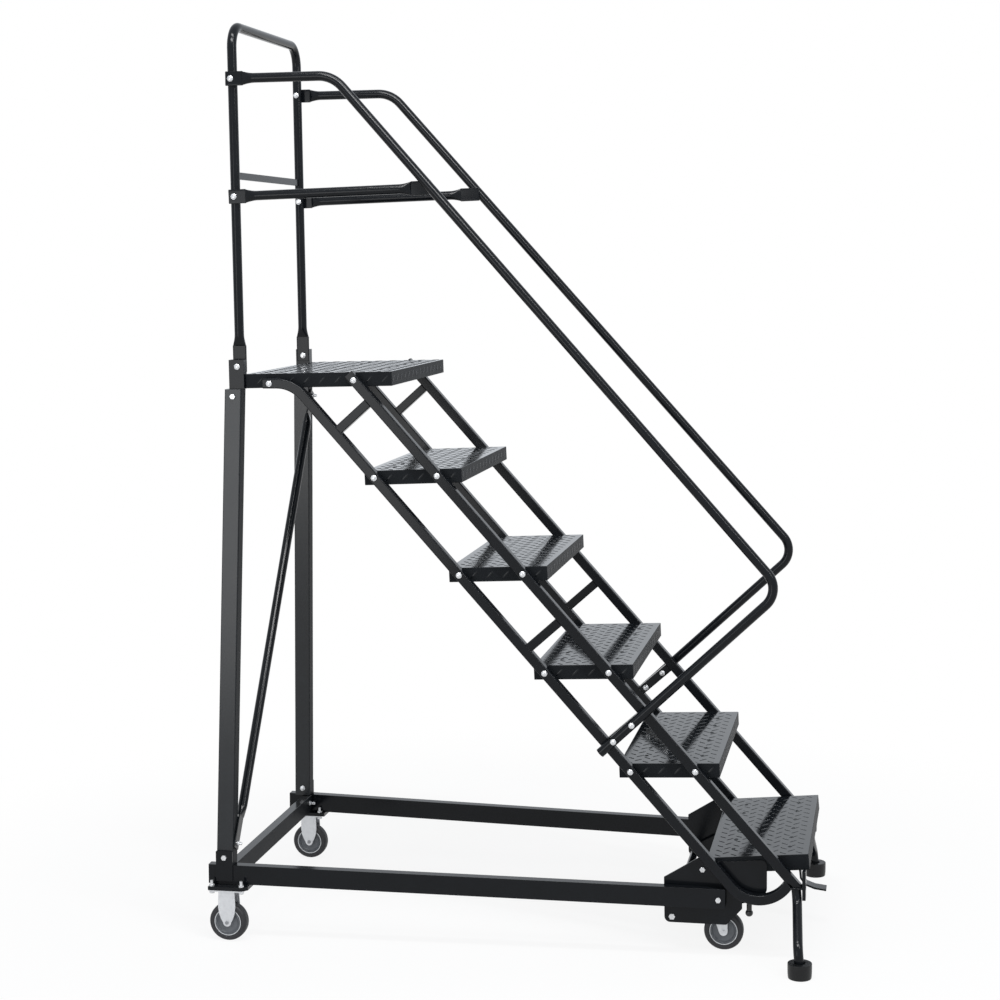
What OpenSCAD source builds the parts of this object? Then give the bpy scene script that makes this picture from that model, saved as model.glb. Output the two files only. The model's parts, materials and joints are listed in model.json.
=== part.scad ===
// Rolling platform ladder with a five-step stair, a guarded deck, four casters
// and a step-down lock that lifts the front casters off the floor.
// +X is the foot of the stair, -Y is the climber's left, +Z is up, Z = 0 is the floor.

/* [Deck and steps] */
// Height of the deck's top above the floor, at its rear edge
deck_h = 1521; // [1440:1:1600]
// Depth of the deck along X
deck_l = 399; // [360:1:450]
// Slope of the deck, front edge up, in degrees
deck_pitch = 1; // [0:0.1:1.5]
// Width of the deck and of each tread
step_w = 612; // [540:1:680]
// Depth of each tread
step_d = 262; // [245:1:280]
// Height of the folded flange round the deck and treads
flange = 38; // [34:1:42]
// Thickness of the pressed steel sheet
sheet = 3; // [2:0.5:4]
// Height from one tread to the next
step_rise = 254; // [235:1:265]
// Horizontal distance from one tread to the next
step_run = 224; // [210:1:240]
// Slope of the fixed treads, front edge up, in degrees
step_pitch = 2.2; // [0:0.1:3]
// How far the deck's front edge lies ahead of the line through the tread noses
deck_overhang = 41; // [30:1:50]
// Height of the nose line above the deck's rear edge
nose_lift = 9; // [0:1:12]

/* [Lock step] */
// Slope of the bottom tread in its raised position, in degrees
lock_pitch = 4.9; // [3:0.1:6]
// How far the raised bottom tread's nose is above the nose line
lock_lift = 21; // [15:1:26]
// How far the raised bottom tread's nose is ahead of the nose line
lock_ahead = 5; // [0:1:10]
// Side gap between the bottom tread's wings and the side plates
lock_gap = 2.5; // [2:0.5:5]
// Thickness of the bottom tread's two wings
wing_t = 3; // [2:0.5:3]

/* [Stringers] */
// Outside width of the square stringer tube
tube = 26; // [22:1:30]
// Wall of the stringer tube
tube_wall = 2; // [1.5:0.1:3]
// Distance between the centre lines of a side's two stringers
stringer_gap = 131; // [120:1:140]
// Depth of the front stringer's bolts behind each tread's nose
bolt_back = 60; // [55:1:70]
// Depth of the same bolts below each tread's nose
bolt_drop = 19; // [17:1:22]
// Radius of the rear stringer's upper bend, at its centre line
top_bend_r = 95; // [80:1:110]
// Radius of the rear stringer's lower bend, at its centre line
foot_bend_r = 91; // [80:1:100]
// Height of the lower bend's centre line above the floor
foot_bend_z = 161; // [158:1:170]
// Width of the link bars between the stringers
link_w = 24; // [20:1:28]

/* [Guard and handrails] */
// Height of the hoop's top above the deck
hoop_h = 919; // [800:1:1100]
// Distance between the centre lines of the hoop's legs
hoop_w = 580; // [520:1:590]
// Radius of the hoop's corners, at the centre line
hoop_r = 58; // [45:1:90]
// Diameter of the hoop, handrail and mid-rail tubes
rail_d = 25; // [22:1:28]
// Wall of the round tubes
rail_wall = 2; // [1.5:0.1:2.5]
// Thickness of a flattened tube end
flat_t = 5; // [4:0.5:6]
// Width of a flattened tube end
flat_w = 37; // [34:1:40]
// Length of a flattened tube end
flat_l = 46; // [42:1:50]
// Height of the handrail's centre line above the deck
handrail_h = 769; // [700:1:820]
// Height of the handrail above the nose line, measured straight up
handrail_rise = 645; // [600:1:680]
// Outward lean of the handrail's plane, in degrees
rail_lean = 1.7; // [1.2:0.1:2]
// Height of the mid-rail's rear bolt above the deck
midrail_h = 465; // [420:1:500]
// How much higher the mid-rail's front end is
midrail_rise = 14; // [0:1:20]
// Radius of the handrail's upper bend
rail_top_r = 85; // [70:1:95]
// Radius of the handrail's lower bend
rail_low_r = 58; // [50:1:66]
// Angle of the handrail's lower leg below the horizontal
low_leg_angle = 43; // [42:0.5:44]

/* [Rear legs] */
// Width of a leg along X
leg_x = 46; // [44:1:50]
// Depth of a leg along Y
leg_y = 39; // [36:1:44]
// Wall of the legs
leg_wall = 2; // [1.5:0.1:2.5]
// How far the legs' feet stand behind their tops
leg_rake = 42; // [20:1:55]
// How far the legs' feet stand outside their tops
leg_splay = 51; // [40:1:60]
// Width of a corner post along X
post_x = 41; // [39:1:43]
// Depth of a corner post along Y
post_y = 25; // [22:1:28]
// Height of a corner post above the deck
post_h = 38; // [30:1:50]

/* [Base frame] */
// Height of the base rails' section
base_h = 52; // [46:1:56]
// Wall of the base rails
base_wall = 2.5; // [2:0.1:3]
// Height of the base rails' top at the rear end
base_top = 205; // [202:1:212]
// How much lower the base rails' top is at the front end
base_drop = 19; // [10:1:22]
// Distance the base rails reach behind the deck
rail_back = 114; // [108:1:130]
// Thickness of the side plates, tabs and brackets
plate_t = 4; // [3:0.5:5]

/* [Casters] */
// Diameter of the wheels
wheel_d = 104; // [100:1:106]
// Width of the tyres
wheel_w = 32; // [28:1:34]
// Height of a caster from the floor to its top face
caster_h = 141; // [139:1:143]
// Thickness of the fork sheet
fork_t = 3; // [2.5:0.5:4]
// Distance between the rear casters' centre planes
rear_track = 772; // [766:1:778]
// Distance between the front casters' centre planes
front_track = 498; // [484:1:502]
// Offset of the front wheels' axle from the swivel axis
trail = 6; // [4:1:8]
// Height of the front wheels above the floor while the ladder stands on its feet
front_lift = 0.6; // [0.4:0.1:1]

/* [Feet] */
// Distance between the rubber feet's centres
foot_track = 878; // [840:1:900]
// Diameter of the rubber feet
foot_d = 62; // [56:1:70]
// Height of the rubber feet
foot_h = 40; // [36:1:46]
// How far the feet stand ahead of their brackets
foot_ahead = 16; // [0:1:25]

/* [Fasteners] */
// Diameter of the bolts
bolt_d = 8; // [6:1:8]
// Clearance round a bolt in its hole, on the radius
bolt_fit = 0.25; // [0.2:0.05:0.5]
// Clearance round a hinge pin, kingpin or axle, on the radius
pin_fit = 0.06; // [0.02:0.01:0.1]

/* [Hidden] */
$fn = 48;

// Shared small sizes
big = 3000;
over = 1;
fixed_treads = 4;
lock_k = fixed_treads + 1;
head_af = 13;
nut_af = 13;
hoop_flat = 70;
mid_flat = 53;
shank_out = 2;
head_h = 5;
hole_d = bolt_d + 2 * bolt_fit;
half_w = step_w / 2;
tube_out = half_w + tube;
tube_mid = half_w + tube / 2;
function hundredth(v) = round(v * 100) / 100;
pitch_angle = hundredth(atan(step_rise / step_run));

// Where the object's two ends lie, measured from the deck's front edge
pedal_reach = 36;
lock_reach = step_run * lock_k - deck_overhang + lock_ahead;
deck_x = (deck_l + rail_back - lock_reach - pedal_reach) / 2;
deck_rear_x = deck_x - deck_l;

// The line through the tread noses and the two stringers' centre lines
nose_0 = [deck_x - deck_overhang, deck_h + nose_lift];
down = [cos(pitch_angle), -sin(pitch_angle)];
across = [sin(pitch_angle), cos(pitch_angle)];
function nose(k) = nose_0 + k * [step_run, -step_rise];
function front_bolt(k) = nose(k) - [bolt_back, bolt_drop];
function front_x(z) = front_bolt(0)[0] + (front_bolt(0)[1] - z) / tan(pitch_angle);
function rear_x(z) = front_x(z) - stringer_gap / sin(pitch_angle);
bolt_slope = tan(step_pitch);
bolt_reach = stringer_gap / (sin(pitch_angle) + cos(pitch_angle) * bolt_slope);
function rear_bolt(k) = front_bolt(k) - bolt_reach * [1, bolt_slope];
// A point s down the stair from the first tread's front bolt and q behind the front stringer
function on_side(s, q) = front_bolt(1) + s * down - q * across;

// Deck bolts, stringer ends and links
deck_rise = (deck_l - bolt_back) * sin(deck_pitch);
deck_bolt_z = deck_h + deck_rise - bolt_drop - 2;
deck_front_bolt = [front_x(deck_bolt_z), deck_bolt_z];
rear_top_z = deck_h - 24;
rear_end_x = deck_rear_x + 56;
deck_rear_bolt = [rear_end_x + tube / 2 + 4, rear_top_z];
front_top_z = deck_h + 1;
foot_top = 201;
link_at = [-step_rise - 9, 2 * step_rise - 14, 3 * step_rise + 54];
bend_centre = [rear_x(foot_bend_z + foot_bend_r) + foot_bend_r / sin(pitch_angle), foot_bend_z + foot_bend_r];
bend_end_angle = 60;
bend_turn = pitch_angle + bend_end_angle;
bend_corner = bend_centre + foot_bend_r / cos(bend_turn / 2)
    * [sin(bend_end_angle - bend_turn / 2), -cos(bend_end_angle - bend_turn / 2)];
bend_end = bend_corner
    + (foot_bend_r * tan(bend_turn / 2) + tube / 2) * [cos(bend_end_angle), sin(bend_end_angle)];

// Lock step: its nose, its hinge and the carriage below it
lock_nose = nose(lock_k) + [lock_ahead, lock_lift];
hinge = [lock_nose[0] - step_d - 10.5, lock_nose[1] - 51];
shaft = [hinge[0] - 80, hinge[1] - 130];
hinge_d = 10;
shaft_d = 12;
lug_r = 15;
plate_in = half_w - plate_t;
lock_half = plate_in - lock_gap - wing_t;
lock_flange = flange + 4;
wing_in = lock_half;
wing_out = wing_in + wing_t;
arm_t = 5;
arm_out = lock_half - 7;
arm_in = arm_out - arm_t;
sleeve_d = 22;
wheel_x = hinge[0] + 51;
king_x = wheel_x - trail;
king_y = front_track / 2;
king_d = 12;
raceway_d = 50;
swivel_t = 4;
front_wheel_z = wheel_d / 2 + front_lift;
swivel_z = front_wheel_z + caster_h - wheel_d / 2 - 6;

// Guard, posts and legs
hoop_x = deck_rear_x - flat_w / 2;
hoop_y = hoop_w / 2;
hoop_top = deck_h + hoop_h;
post_in = hoop_y + flat_t / 2;
post_out = post_in + post_y;
post_top = deck_h + post_h;
post_bottom = deck_h - flange - 1;
post_wall = 3;
hoop_bolt_z = deck_h + 20;
taper_l = 31;
leg_fall = post_bottom - base_top;
leg_lean = atan(leg_rake / leg_fall);
leg_slant = atan(leg_splay / leg_fall);
leg_top = [deck_rear_x - post_x / 2 - 6, post_in + leg_y / 2, post_bottom];
leg_h = norm([leg_rake, leg_splay, leg_fall]);

// Base rails: straight from behind the rear casters to the side plates
base_t = tube;
base_bite = 1;
base_front = [hinge[0] + 60, -(half_w + base_t / 2 - base_bite), base_top - base_drop - base_h / 2];
rear_x_end = deck_rear_x - rail_back;
rear_wheel_x = rear_x_end + 56;
rear_wheel_y = rear_track / 2;
base_rear = [rear_x_end, -(rear_wheel_y - 13.5), base_top - base_h / 2];
base_run = base_front - base_rear;
base_len = norm(base_run);
base_yaw = atan(base_run[1] / base_run[0]);
base_tilt = asin(-base_run[2] / base_len);
pad_back = 50;
pad_ahead = 58;
pad_t = 10;
pad_bolt_x = 41;
pad_bolt_out = 16;
fork_plate_l = 96;
pad_out = rear_wheel_y + 25;
pad_in = rear_wheel_y - 47;
cross_x = rear_x_end + 45;

// Handrail line: level, down beside the stair, then back to the stringers
rail_z = deck_h + handrail_h;
rail_y = hoop_y + rail_d / 2 + flat_t / 2 + flat_w / 2 * sin(rail_lean) + 0.1;
rail_rear_x = hoop_x - flat_w / 2 + 5;
rail_start = [rail_rear_x + flat_l + taper_l, rail_z];
rail_corner = [nose_0[0] - (rail_z - nose_0[1] - handrail_rise) / tan(pitch_angle), rail_z];
low_dir = [cos(low_leg_angle), sin(low_leg_angle)];
low_bolt_a = on_side(link_at[2], 37);
low_bolt_gap = 65;
low_bolt_b = low_bolt_a - low_bolt_gap * low_dir;
low_end = low_bolt_b - 49 * low_dir;
low_drop = rail_corner[1] - low_bolt_a[1] - (low_bolt_a[0] - rail_corner[0]) * tan(pitch_angle);
low_corner = low_bolt_a + low_drop / (low_dir[1] + low_dir[0] * tan(pitch_angle)) * low_dir;
function lean_y(z) = rail_y + (rail_z - z) * tan(rail_lean);
mid_z = deck_h + midrail_h;
mid_front_z = mid_z + midrail_rise;
mid_gap = 0.85;
mid_front_x = rail_corner[0] + (rail_z - mid_front_z) / tan(pitch_angle);
mid_front_y = lean_y(mid_front_z) - rail_d / 2 - flat_t / 2 - mid_gap;
mid_rear_y = hoop_y + rail_d / 2 + flat_t / 2;
mid_end = 14;
mid_len = mid_front_x - hoop_x + mid_end;
mid_tilt = asin(midrail_rise / mid_len);
mid_yaw = asin((mid_rear_y - mid_front_y) / mid_len);

// Front feet
foot_x = front_x(foot_top);
foot_top_z = foot_top - plate_t - 1.2;
foot_lean = atan(foot_ahead / (foot_top_z - foot_h / 2));
foot_y = tube_mid + 4;
foot_out = foot_track / 2;

// Release pedal
pedal_pin = [lock_nose[0] - 42, lock_nose[1] - 60];
pedal_w = 40;
pedal_pin_d = 8;
pedal_tip_x = lock_nose[0] + pedal_reach;

steel_black = [0.16, 0.17, 0.18];
steel_bright = [0.8, 0.8, 0.8];
rubber = [0.22, 0.22, 0.23];
hub_grey = [0.5, 0.51, 0.53];

// Plain helpers
module right() {
    mirror([0, 1, 0])
        children();
}
module pair() {
    children();
    right()
        children();
}
module box(x0, x1, y0, y1, z0, z1) {
    translate([x0, y0, z0])
        cube([x1 - x0, y1 - y0, z1 - z0]);
}
// A round bar along Y between two depths
module ybar(p, y0, y1, d) {
    translate([p[0], y0, p[1]])
        rotate([-90, 0, 0])
            cylinder(d = d, h = y1 - y0);
}
// A plate with its outline in the XZ plane
module yplate(y0, y1, outline) {
    translate([0, y1, 0])
        rotate([90, 0, 0])
            linear_extrude(y1 - y0)
                polygon(outline);
}
// A hexagon head on a Y bolt, growing outward from y0 to y1
module yhead(p, y0, y1, af) {
    translate([p[0], y0, p[1]])
        rotate([-90, 0, 0])
            cylinder(d = af / cos(30), h = y1 - y0, $fn = 6);
}
// A bolt through a left-hand joint, from its outer face y0 to its inner face y1
module ybolt(p, y0, y1) {
    ybar(p, y0 - over, y1 + head_h + shank_out, bolt_d);
    yhead(p, y0 - head_h, y0, head_af);
    yhead(p, y1, y1 + head_h, nut_af);
}
// Points of a rounded corner
function arc(c, r, a0, a1, n = 6) = [for (i = [0:n])
    c + r * [cos(a0 + (a1 - a0) * i / n), sin(a0 + (a1 - a0) * i / n)]];

// Tubes bent in a plane, drawn in XY and stood up into XZ
ring_l = 1.2;
ring_gap = 0.3;
ring_t = 0.05;
function ang(v) = atan2(v[1], v[0]);
function wrap(t) = t > 180 ? t - 360 : t < -180 ? t + 360 : t;
function turn(p, i) = hundredth(wrap(ang(p[i + 1] - p[i]) - ang(p[i] - p[i - 1])));
function cut(p, r, i) = i == 0 || i == len(p) - 1 ? 0 : r[i] * tan(abs(turn(p, i)) / 2);
function straight(p, r, i) = hundredth(norm(p[i + 1] - p[i]) - cut(p, r, i) - cut(p, r, i + 1));
module section(w, is_round) {
    if (is_round)
        circle(d = w);
    else
        square(w, center = true);
}
// A short length of the tube along X
module length_of(x0, x1, w, is_round) {
    translate([x0, 0, 0])
        rotate([0, 90, 0])
            linear_extrude(x1 - x0)
                section(w, is_round);
}
// One straight piece and the bend after it, then the rest of the tube; a hairline ring joins each to the next
module tube_run(p, r, i, w, is_round) {
    last = i == len(p) - 2;
    len_x = straight(p, r, i);
    length_of(i == 0 ? 0 : ring_gap, last ? len_x : len_x - ring_gap, w, is_round);
    if (i > 0)
        length_of(-ring_l / 2, ring_l / 2, w + 2 * ring_t, is_round);
    if (!last) {
        t = turn(p, i + 1);
        c = [len_x, sign(t) * r[i + 1], 0];
        length_of(len_x - ring_l / 2, len_x + ring_l / 2, w + 2 * ring_t, is_round);
        translate(c)
            rotate([0, 0, t > 0 ? -90 : 90 + t])
                rotate_extrude(angle = abs(t))
                    translate([r[i + 1], 0])
                        section(w, is_round);
        translate(c)
            rotate([0, 0, t])
                translate([0, -c[1], 0])
                    tube_run(p, r, i + 1, w, is_round);
    }
}
module bent_tube(p, r, w, wall, is_round) {
    translate([p[0][0], 0, p[0][1]])
        rotate([90, 0, 0])
            rotate([0, 0, ang(p[1] - p[0])])
                difference() {
                    tube_run(p, r, 0, w, is_round);
                    tube_run(p, r, 0, w - 2 * wall, is_round);
                }
}
// A flattened tube end: flat from x = 0 to flat_len, then a taper up to the round tube
module flat_end(flat_len) {
    box(0, flat_len, -flat_t / 2, flat_t / 2, -flat_w / 2, flat_w / 2);
    hull() {
        box(flat_len - 0.5, flat_len, -flat_t / 2, flat_t / 2, -flat_w / 2, flat_w / 2);
        translate([flat_len + taper_l, 0, 0])
            rotate([0, 90, 0])
                cylinder(d = rail_d, h = 0.5, $fn = 32);
    }
}
// A straight tube along X, flattened at both ends
module flat_ended_tube(l, flat_a, flat_b) {
    body_a = flat_a + taper_l + 0.5;
    body_l = l - body_a - flat_b - taper_l - 0.5;
    flat_end(flat_a);
    translate([l, 0, 0])
        rotate([0, 0, 180])
            flat_end(flat_b);
    translate([body_a, 0, 0])
        rotate([0, 90, 0])
            difference() {
                cylinder(d = rail_d, h = body_l);
                cylinder(d = rail_d - 2 * rail_wall, h = body_l);
            }
}

// Deck and treads
// A folded sheet pan whose front top edge is at the origin
module pan(l, w, h) {
    difference() {
        box(-l, 0, -w / 2, w / 2, -h, 0);
        box(sheet - l, -sheet, sheet - w / 2, w / 2 - sheet, -h - over, -sheet);
    }
}
module stair_holes(p) {
    ybar(p, -big / 2, big / 2, hole_d);
}
module deck() {
    color(steel_black)
        difference() {
            translate([deck_x, 0, deck_h + deck_l * sin(deck_pitch)])
                rotate([0, -deck_pitch, 0])
                    pan(deck_l, step_w, flange);
            stair_holes(deck_front_bolt);
            stair_holes(deck_rear_bolt);
        }
}
module tread(k) {
    color(steel_black)
        difference() {
            translate([nose(k)[0], 0, nose(k)[1]])
                rotate([0, -step_pitch, 0])
                    pan(step_d, step_w, flange);
            stair_holes(front_bolt(k));
            stair_holes(rear_bolt(k));
        }
}
module lock_tread() {
    color(steel_black)
        translate([lock_nose[0], 0, lock_nose[1]])
            rotate([0, -lock_pitch, 0])
                pan(step_d, 2 * lock_half, lock_flange);
}
// The wings lie on the bottom tread's side flanges and carry its hinge
wing_drop = 118;
wing_front = 106;
wing_r = 15;
wing_foot_r = 21;
function under_lock(back) = lock_nose[1] - back * tan(lock_pitch) - 4 * sheet;
wing_foot = lock_nose[1] - wing_drop;
wing_x = lock_nose[0] - wing_front;
wing_outline = concat(
    arc([wing_x - wing_r, under_lock(wing_front) - wing_r], wing_r, 0, 90),
    [[hinge[0] + 12, under_lock(step_d - 4)]],
    arc(hinge, lug_r, 60, 240),
    [[hinge[0] + 70, wing_foot]],
    arc([wing_x - wing_foot_r, wing_foot + wing_foot_r], wing_foot_r, -90, 0)
);
module lock_wings() {
    color(steel_black)
        pair()
            difference() {
                yplate(-wing_out, -wing_in, wing_outline);
                ybar(hinge, -wing_out - over, -wing_in + over, hinge_d + 2 * pin_fit);
            }
}

// Stringers and links
module front_stringer_solid(w) {
    top = [front_x(front_top_z), front_top_z];
    low = [front_x(foot_top), foot_top] + tube * down;
    translate([top[0], 0, top[1]])
        rotate([0, pitch_angle, 0])
            box(0, norm(low - top), -w / 2, w / 2, -w / 2, w / 2);
}
module stringer_cuts(deck_bolt, fixed_bolts) {
    stair_holes(deck_bolt);
    for (p = fixed_bolts)
        stair_holes(p);
}
module front_stringer() {
    color(steel_black)
        translate([0, -tube_mid, 0])
            difference() {
                front_stringer_solid(tube);
                front_stringer_solid(tube - 2 * tube_wall);
                box(foot_x - big / 2, foot_x + big / 2, -tube, tube, foot_top - big / 2, foot_top);
                box(bracket_x, big, -tube, tube, foot_top - over, big);
                stringer_cuts(deck_front_bolt, [for (k = [1:fixed_treads]) front_bolt(k)]);
            }
}
module rear_stringer() {
    color(steel_black)
        translate([0, -tube_mid, 0])
            difference() {
                bent_tube(
                    [[rear_end_x, rear_top_z], [rear_x(rear_top_z), rear_top_z], bend_corner, bend_end],
                    [0, top_bend_r, foot_bend_r, 0], tube, tube_wall, false);
                front_stringer_solid(tube);
                box(foot_x - cap_l / 2, foot_x + big / 2, -tube, tube, 0, foot_top);
                stringer_cuts(deck_rear_bolt, [for (k = [1:fixed_treads]) rear_bolt(k)]);
            }
}
module link_bars() {
    color(steel_black)
        pair()
            difference() {
                for (s = link_at)
                    translate([on_side(s, 0)[0], -tube_mid, on_side(s, 0)[1]])
                        rotate([0, pitch_angle - 90, 0])
                            box(tube / 2 - stringer_gap + ring_t, -tube / 2 - ring_t, -tube / 2, tube / 2,
                                -link_w / 2, link_w / 2);
                for (p = [low_bolt_a, low_bolt_b])
                    ybar(p, -tube_out - over, -tube_mid, bolt_d);
            }
}

// Guard hoop and rails
module hoop_end(z) {
    translate([hoop_x, -hoop_y, z])
        rotate([0, -90, 0])
            flat_end(hoop_flat);
}
hoop_low = hoop_bolt_z - 16;
hoop_tube_z = hoop_low + hoop_flat + taper_l + 0.5;
module guard_hoop() {
    color(steel_black)
        difference() {
            union() {
                translate([hoop_x, 0, 0])
                    rotate([0, 0, 90])
                        bent_tube(
                            [[-hoop_y, hoop_tube_z], [-hoop_y, hoop_top - rail_d / 2],
                            [hoop_y, hoop_top - rail_d / 2], [hoop_y, hoop_tube_z]],
                            [0, hoop_r, hoop_r, 0], rail_d, rail_wall, true);
                hoop_end(hoop_low);
                right()
                    hoop_end(hoop_low);
            }
            for (p = [[hoop_x, hoop_bolt_z], [hoop_x, rail_z], [hoop_x, mid_z]])
                ybar(p, -big / 2, big / 2, hole_d);
        }
}
cross_bar_z = mid_z + 55;
cross_bar_h = 19;
cross_bar_t = 6;
module hoop_cross_bar() {
    color(steel_black)
        difference() {
            box(hoop_x - cross_bar_t / 2, hoop_x + cross_bar_t / 2, -hoop_y, hoop_y,
                cross_bar_z - cross_bar_h / 2, cross_bar_z + cross_bar_h / 2);
            for (y = [-hoop_y, hoop_y])
                translate([hoop_x, y, cross_bar_z - cross_bar_h])
                    cylinder(d = rail_d + 2 * ring_t, h = 2 * cross_bar_h);
        }
}
module handrail() {
    color(steel_black)
        difference() {
            translate([0, -rail_y, rail_z])
                rotate([-rail_lean, 0, 0])
                    translate([0, 0, -rail_z]) {
                        bent_tube([rail_start, rail_corner, low_corner, low_end],
                            [0, rail_top_r, rail_low_r, 0], rail_d, rail_wall, true);
                        translate([rail_rear_x, 0, rail_z])
                            flat_end(flat_l - 0.5);
                    }
            for (p = [[hoop_x, rail_z], low_bolt_a, low_bolt_b])
                ybar(p, -lean_y(p[1]) - rail_d, rail_d - lean_y(p[1]), hole_d);
        }
}
module mid_rail() {
    color(steel_black)
        difference() {
            translate([hoop_x, -mid_rear_y, mid_z])
                rotate([0, -mid_tilt, mid_yaw])
                    translate([-mid_end, 0, 0])
                        flat_ended_tube(mid_len, flat_l, mid_flat);
            ybar([hoop_x, mid_z], -big / 2, 0, hole_d);
        }
}

// Posts, legs and brace
module corner_posts() {
    color(steel_black)
        pair()
            difference() {
                box(deck_rear_x - post_x, deck_rear_x, -post_out, -post_in, post_bottom, post_top);
                box(deck_rear_x - post_x + post_wall, deck_rear_x - post_wall,
                    post_wall - post_out, -post_in - post_wall, post_bottom - over, post_top + over);
                ybar([hoop_x, hoop_bolt_z], -big / 2, 0, hole_d);
            }
}
// A leg's own frame: its axis runs down from the origin
module on_leg() {
    translate([leg_top[0], -leg_top[1], leg_top[2]])
        rotate([-leg_slant, leg_lean, 0])
            children();
}
module leg_bar(x, y, extra) {
    on_leg()
        box(-x / 2, x / 2, -y / 2, y / 2, -leg_h - extra, extra);
}
// A bar along the leg's X, at a height above the floor
module leg_xbar(z, x0, x1, d) {
    on_leg()
        translate([x0, 0, (z - leg_top[2]) / cos(leg_lean) / cos(leg_slant)])
            rotate([0, 90, 0])
                cylinder(d = d, h = x1 - x0);
}
leg_bolt = [0, -20];
// The base rail's own frame: x runs forward to its front end
module on_rail() {
    translate(base_front)
        rotate([0, base_tilt, base_yaw])
            children();
}
module under_rail_top() {
    on_rail()
        box(-base_len - big / 6, big / 6, -big / 6, big / 6, -big / 6, base_h / 2);
}
module rear_leg(brace_z) {
    color(steel_black)
        difference() {
            leg_bar(leg_x, leg_y, 60);
            leg_bar(leg_x - 2 * leg_wall, leg_y - 2 * leg_wall, 61);
            leg_xbar(brace_z, leg_x / 2 - leg_wall - over, leg_x, hole_d);
            on_leg()
                ybar(leg_bolt, -leg_y, 0, hole_d);
            on_rail()
                ybar(tab_bolt, -2 * tube, 2 * tube, hole_d);
            under_rail_top();
            box(-big / 2, big / 2, -big / 2, big / 2, post_bottom, big);
        }
}
tab_up = 39;
tab_bolt_up = 21;
tab_low = 8;
tab_w = 46;
tab_cut = 2;
tab_at = rear_wheel_x - 12.5 - base_front[0];
tab_bolt = [tab_at, base_h / 2 + tab_bolt_up];
tab_top = base_h / 2 + tab_up;
tab_outline = [for (q = [
    [-tab_w / 2, tab_low - base_h / 2], [tab_w / 2, tab_low - base_h / 2], [tab_w / 2, tab_top - tab_cut],
    [tab_w / 2 - tab_cut, tab_top], [tab_cut - tab_w / 2, tab_top], [-tab_w / 2, tab_top - tab_cut]])
    [tab_at, 0] + q];
module leg_tabs() {
    color(steel_black)
        pair()
            on_rail()
                difference() {
                    yplate(-base_t / 2 - plate_t, -base_t / 2, tab_outline);
                    ybar(tab_bolt, -tube, 0, hole_d);
                }
}
// The brace crosses from the right leg's top to the left leg's foot, on their front faces
brace_top_flat = 78;
brace_foot_flat = 88;
brace_gap = 0.05;
brace_top = leg_top[2] - 59;
brace_foot = base_top + 55;
function leg_y_at(z) = leg_top[1] + (leg_top[2] - z) * tan(leg_slant) / cos(leg_lean);
brace_rise = (brace_top - brace_foot) / cos(leg_lean);
brace_span = leg_y_at(brace_top) + leg_y_at(brace_foot);
brace_len = norm([brace_rise, brace_span]) + 2 * mid_end;
brace_start = [leg_x / 2 + flat_t / 2 + brace_gap, leg_y_at(brace_top), (brace_top - leg_top[2]) / cos(leg_lean)];
module diagonal_brace() {
    color(steel_black)
        difference() {
            translate([leg_top[0], 0, leg_top[2]])
                rotate([0, leg_lean, 0])
                    translate(brace_start)
                        rotate([atan(brace_rise / brace_span), 0, 0])
                            rotate([0, 0, -90])
                                translate([-mid_end, 0, 0])
                                    flat_ended_tube(brace_len, brace_top_flat, brace_foot_flat);
            leg_xbar(brace_foot, 0, leg_x, hole_d);
            right()
                leg_xbar(brace_top, 0, leg_x, hole_d);
        }
}

// Base frame
module rail_solid() {
    on_rail()
        box(-base_len, 0, -base_t / 2, base_t / 2, -base_h / 2, base_h / 2);
}
rail_bolt = [hinge[0] + 43, hinge[1] - 72];
seat_gap = 0.1;
rail_bolt_y = half_w + base_t - base_bite + seat_gap
    + (base_front[0] - rail_bolt[0] + head_af / 2) * tan(base_yaw);
module base_rail() {
    color(steel_black)
        difference() {
            rail_solid();
            on_rail()
                box(-base_len - over, over, base_wall - base_t / 2, base_t / 2 - base_wall,
                    base_wall - base_h / 2, base_h / 2 - base_wall);
            box(0, big, -half_w, 0, 0, big);
            ybar(rail_bolt, -big / 2, 0, hole_d);
        }
}
cross_inset = 2;
cross_low = base_top - base_h + cross_inset;
cross_top = base_top - cross_inset;
module base_cross_rail() {
    color(steel_black)
        difference() {
            box(cross_x, cross_x + base_t, -rear_wheel_y, rear_wheel_y, cross_low, cross_top);
            box(cross_x + base_wall, cross_x + base_t - base_wall, -rear_wheel_y - over, rear_wheel_y + over,
                cross_low + base_wall, cross_top - base_wall);
            rail_solid();
            right()
                rail_solid();
            box(-big, big, base_rear[1] - rear_wheel_y, base_rear[1], 0, big);
            box(-big, big, -base_rear[1], rear_wheel_y - base_rear[1], 0, big);
        }
}
side_outline = concat(
    [[hinge[0] - 101, hinge[1] - 25], [hinge[0] - 12, hinge[1] + 30], [hinge[0] + 20, hinge[1] + 20],
    [hinge[0] + 80, hinge[1] - 45], [hinge[0] + 103, hinge[1] - 74], [hinge[0] + 103, hinge[1] - 101],
    [hinge[0] + 62, hinge[1] - 146]],
    arc([hinge[0] - 85, hinge[1] - 131], 15, 270, 180, 5)
);
module side_plate() {
    color(steel_black)
        difference() {
            yplate(-half_w, -plate_in, side_outline);
            ybar(hinge, -half_w - over, -plate_in + over, hinge_d + 2 * bolt_fit);
            ybar(shaft, -half_w - over, -plate_in + over, shaft_d + 2 * bolt_fit);
            ybar(rail_bolt, -half_w - over, -plate_in + over, hole_d);
        }
}

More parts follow.
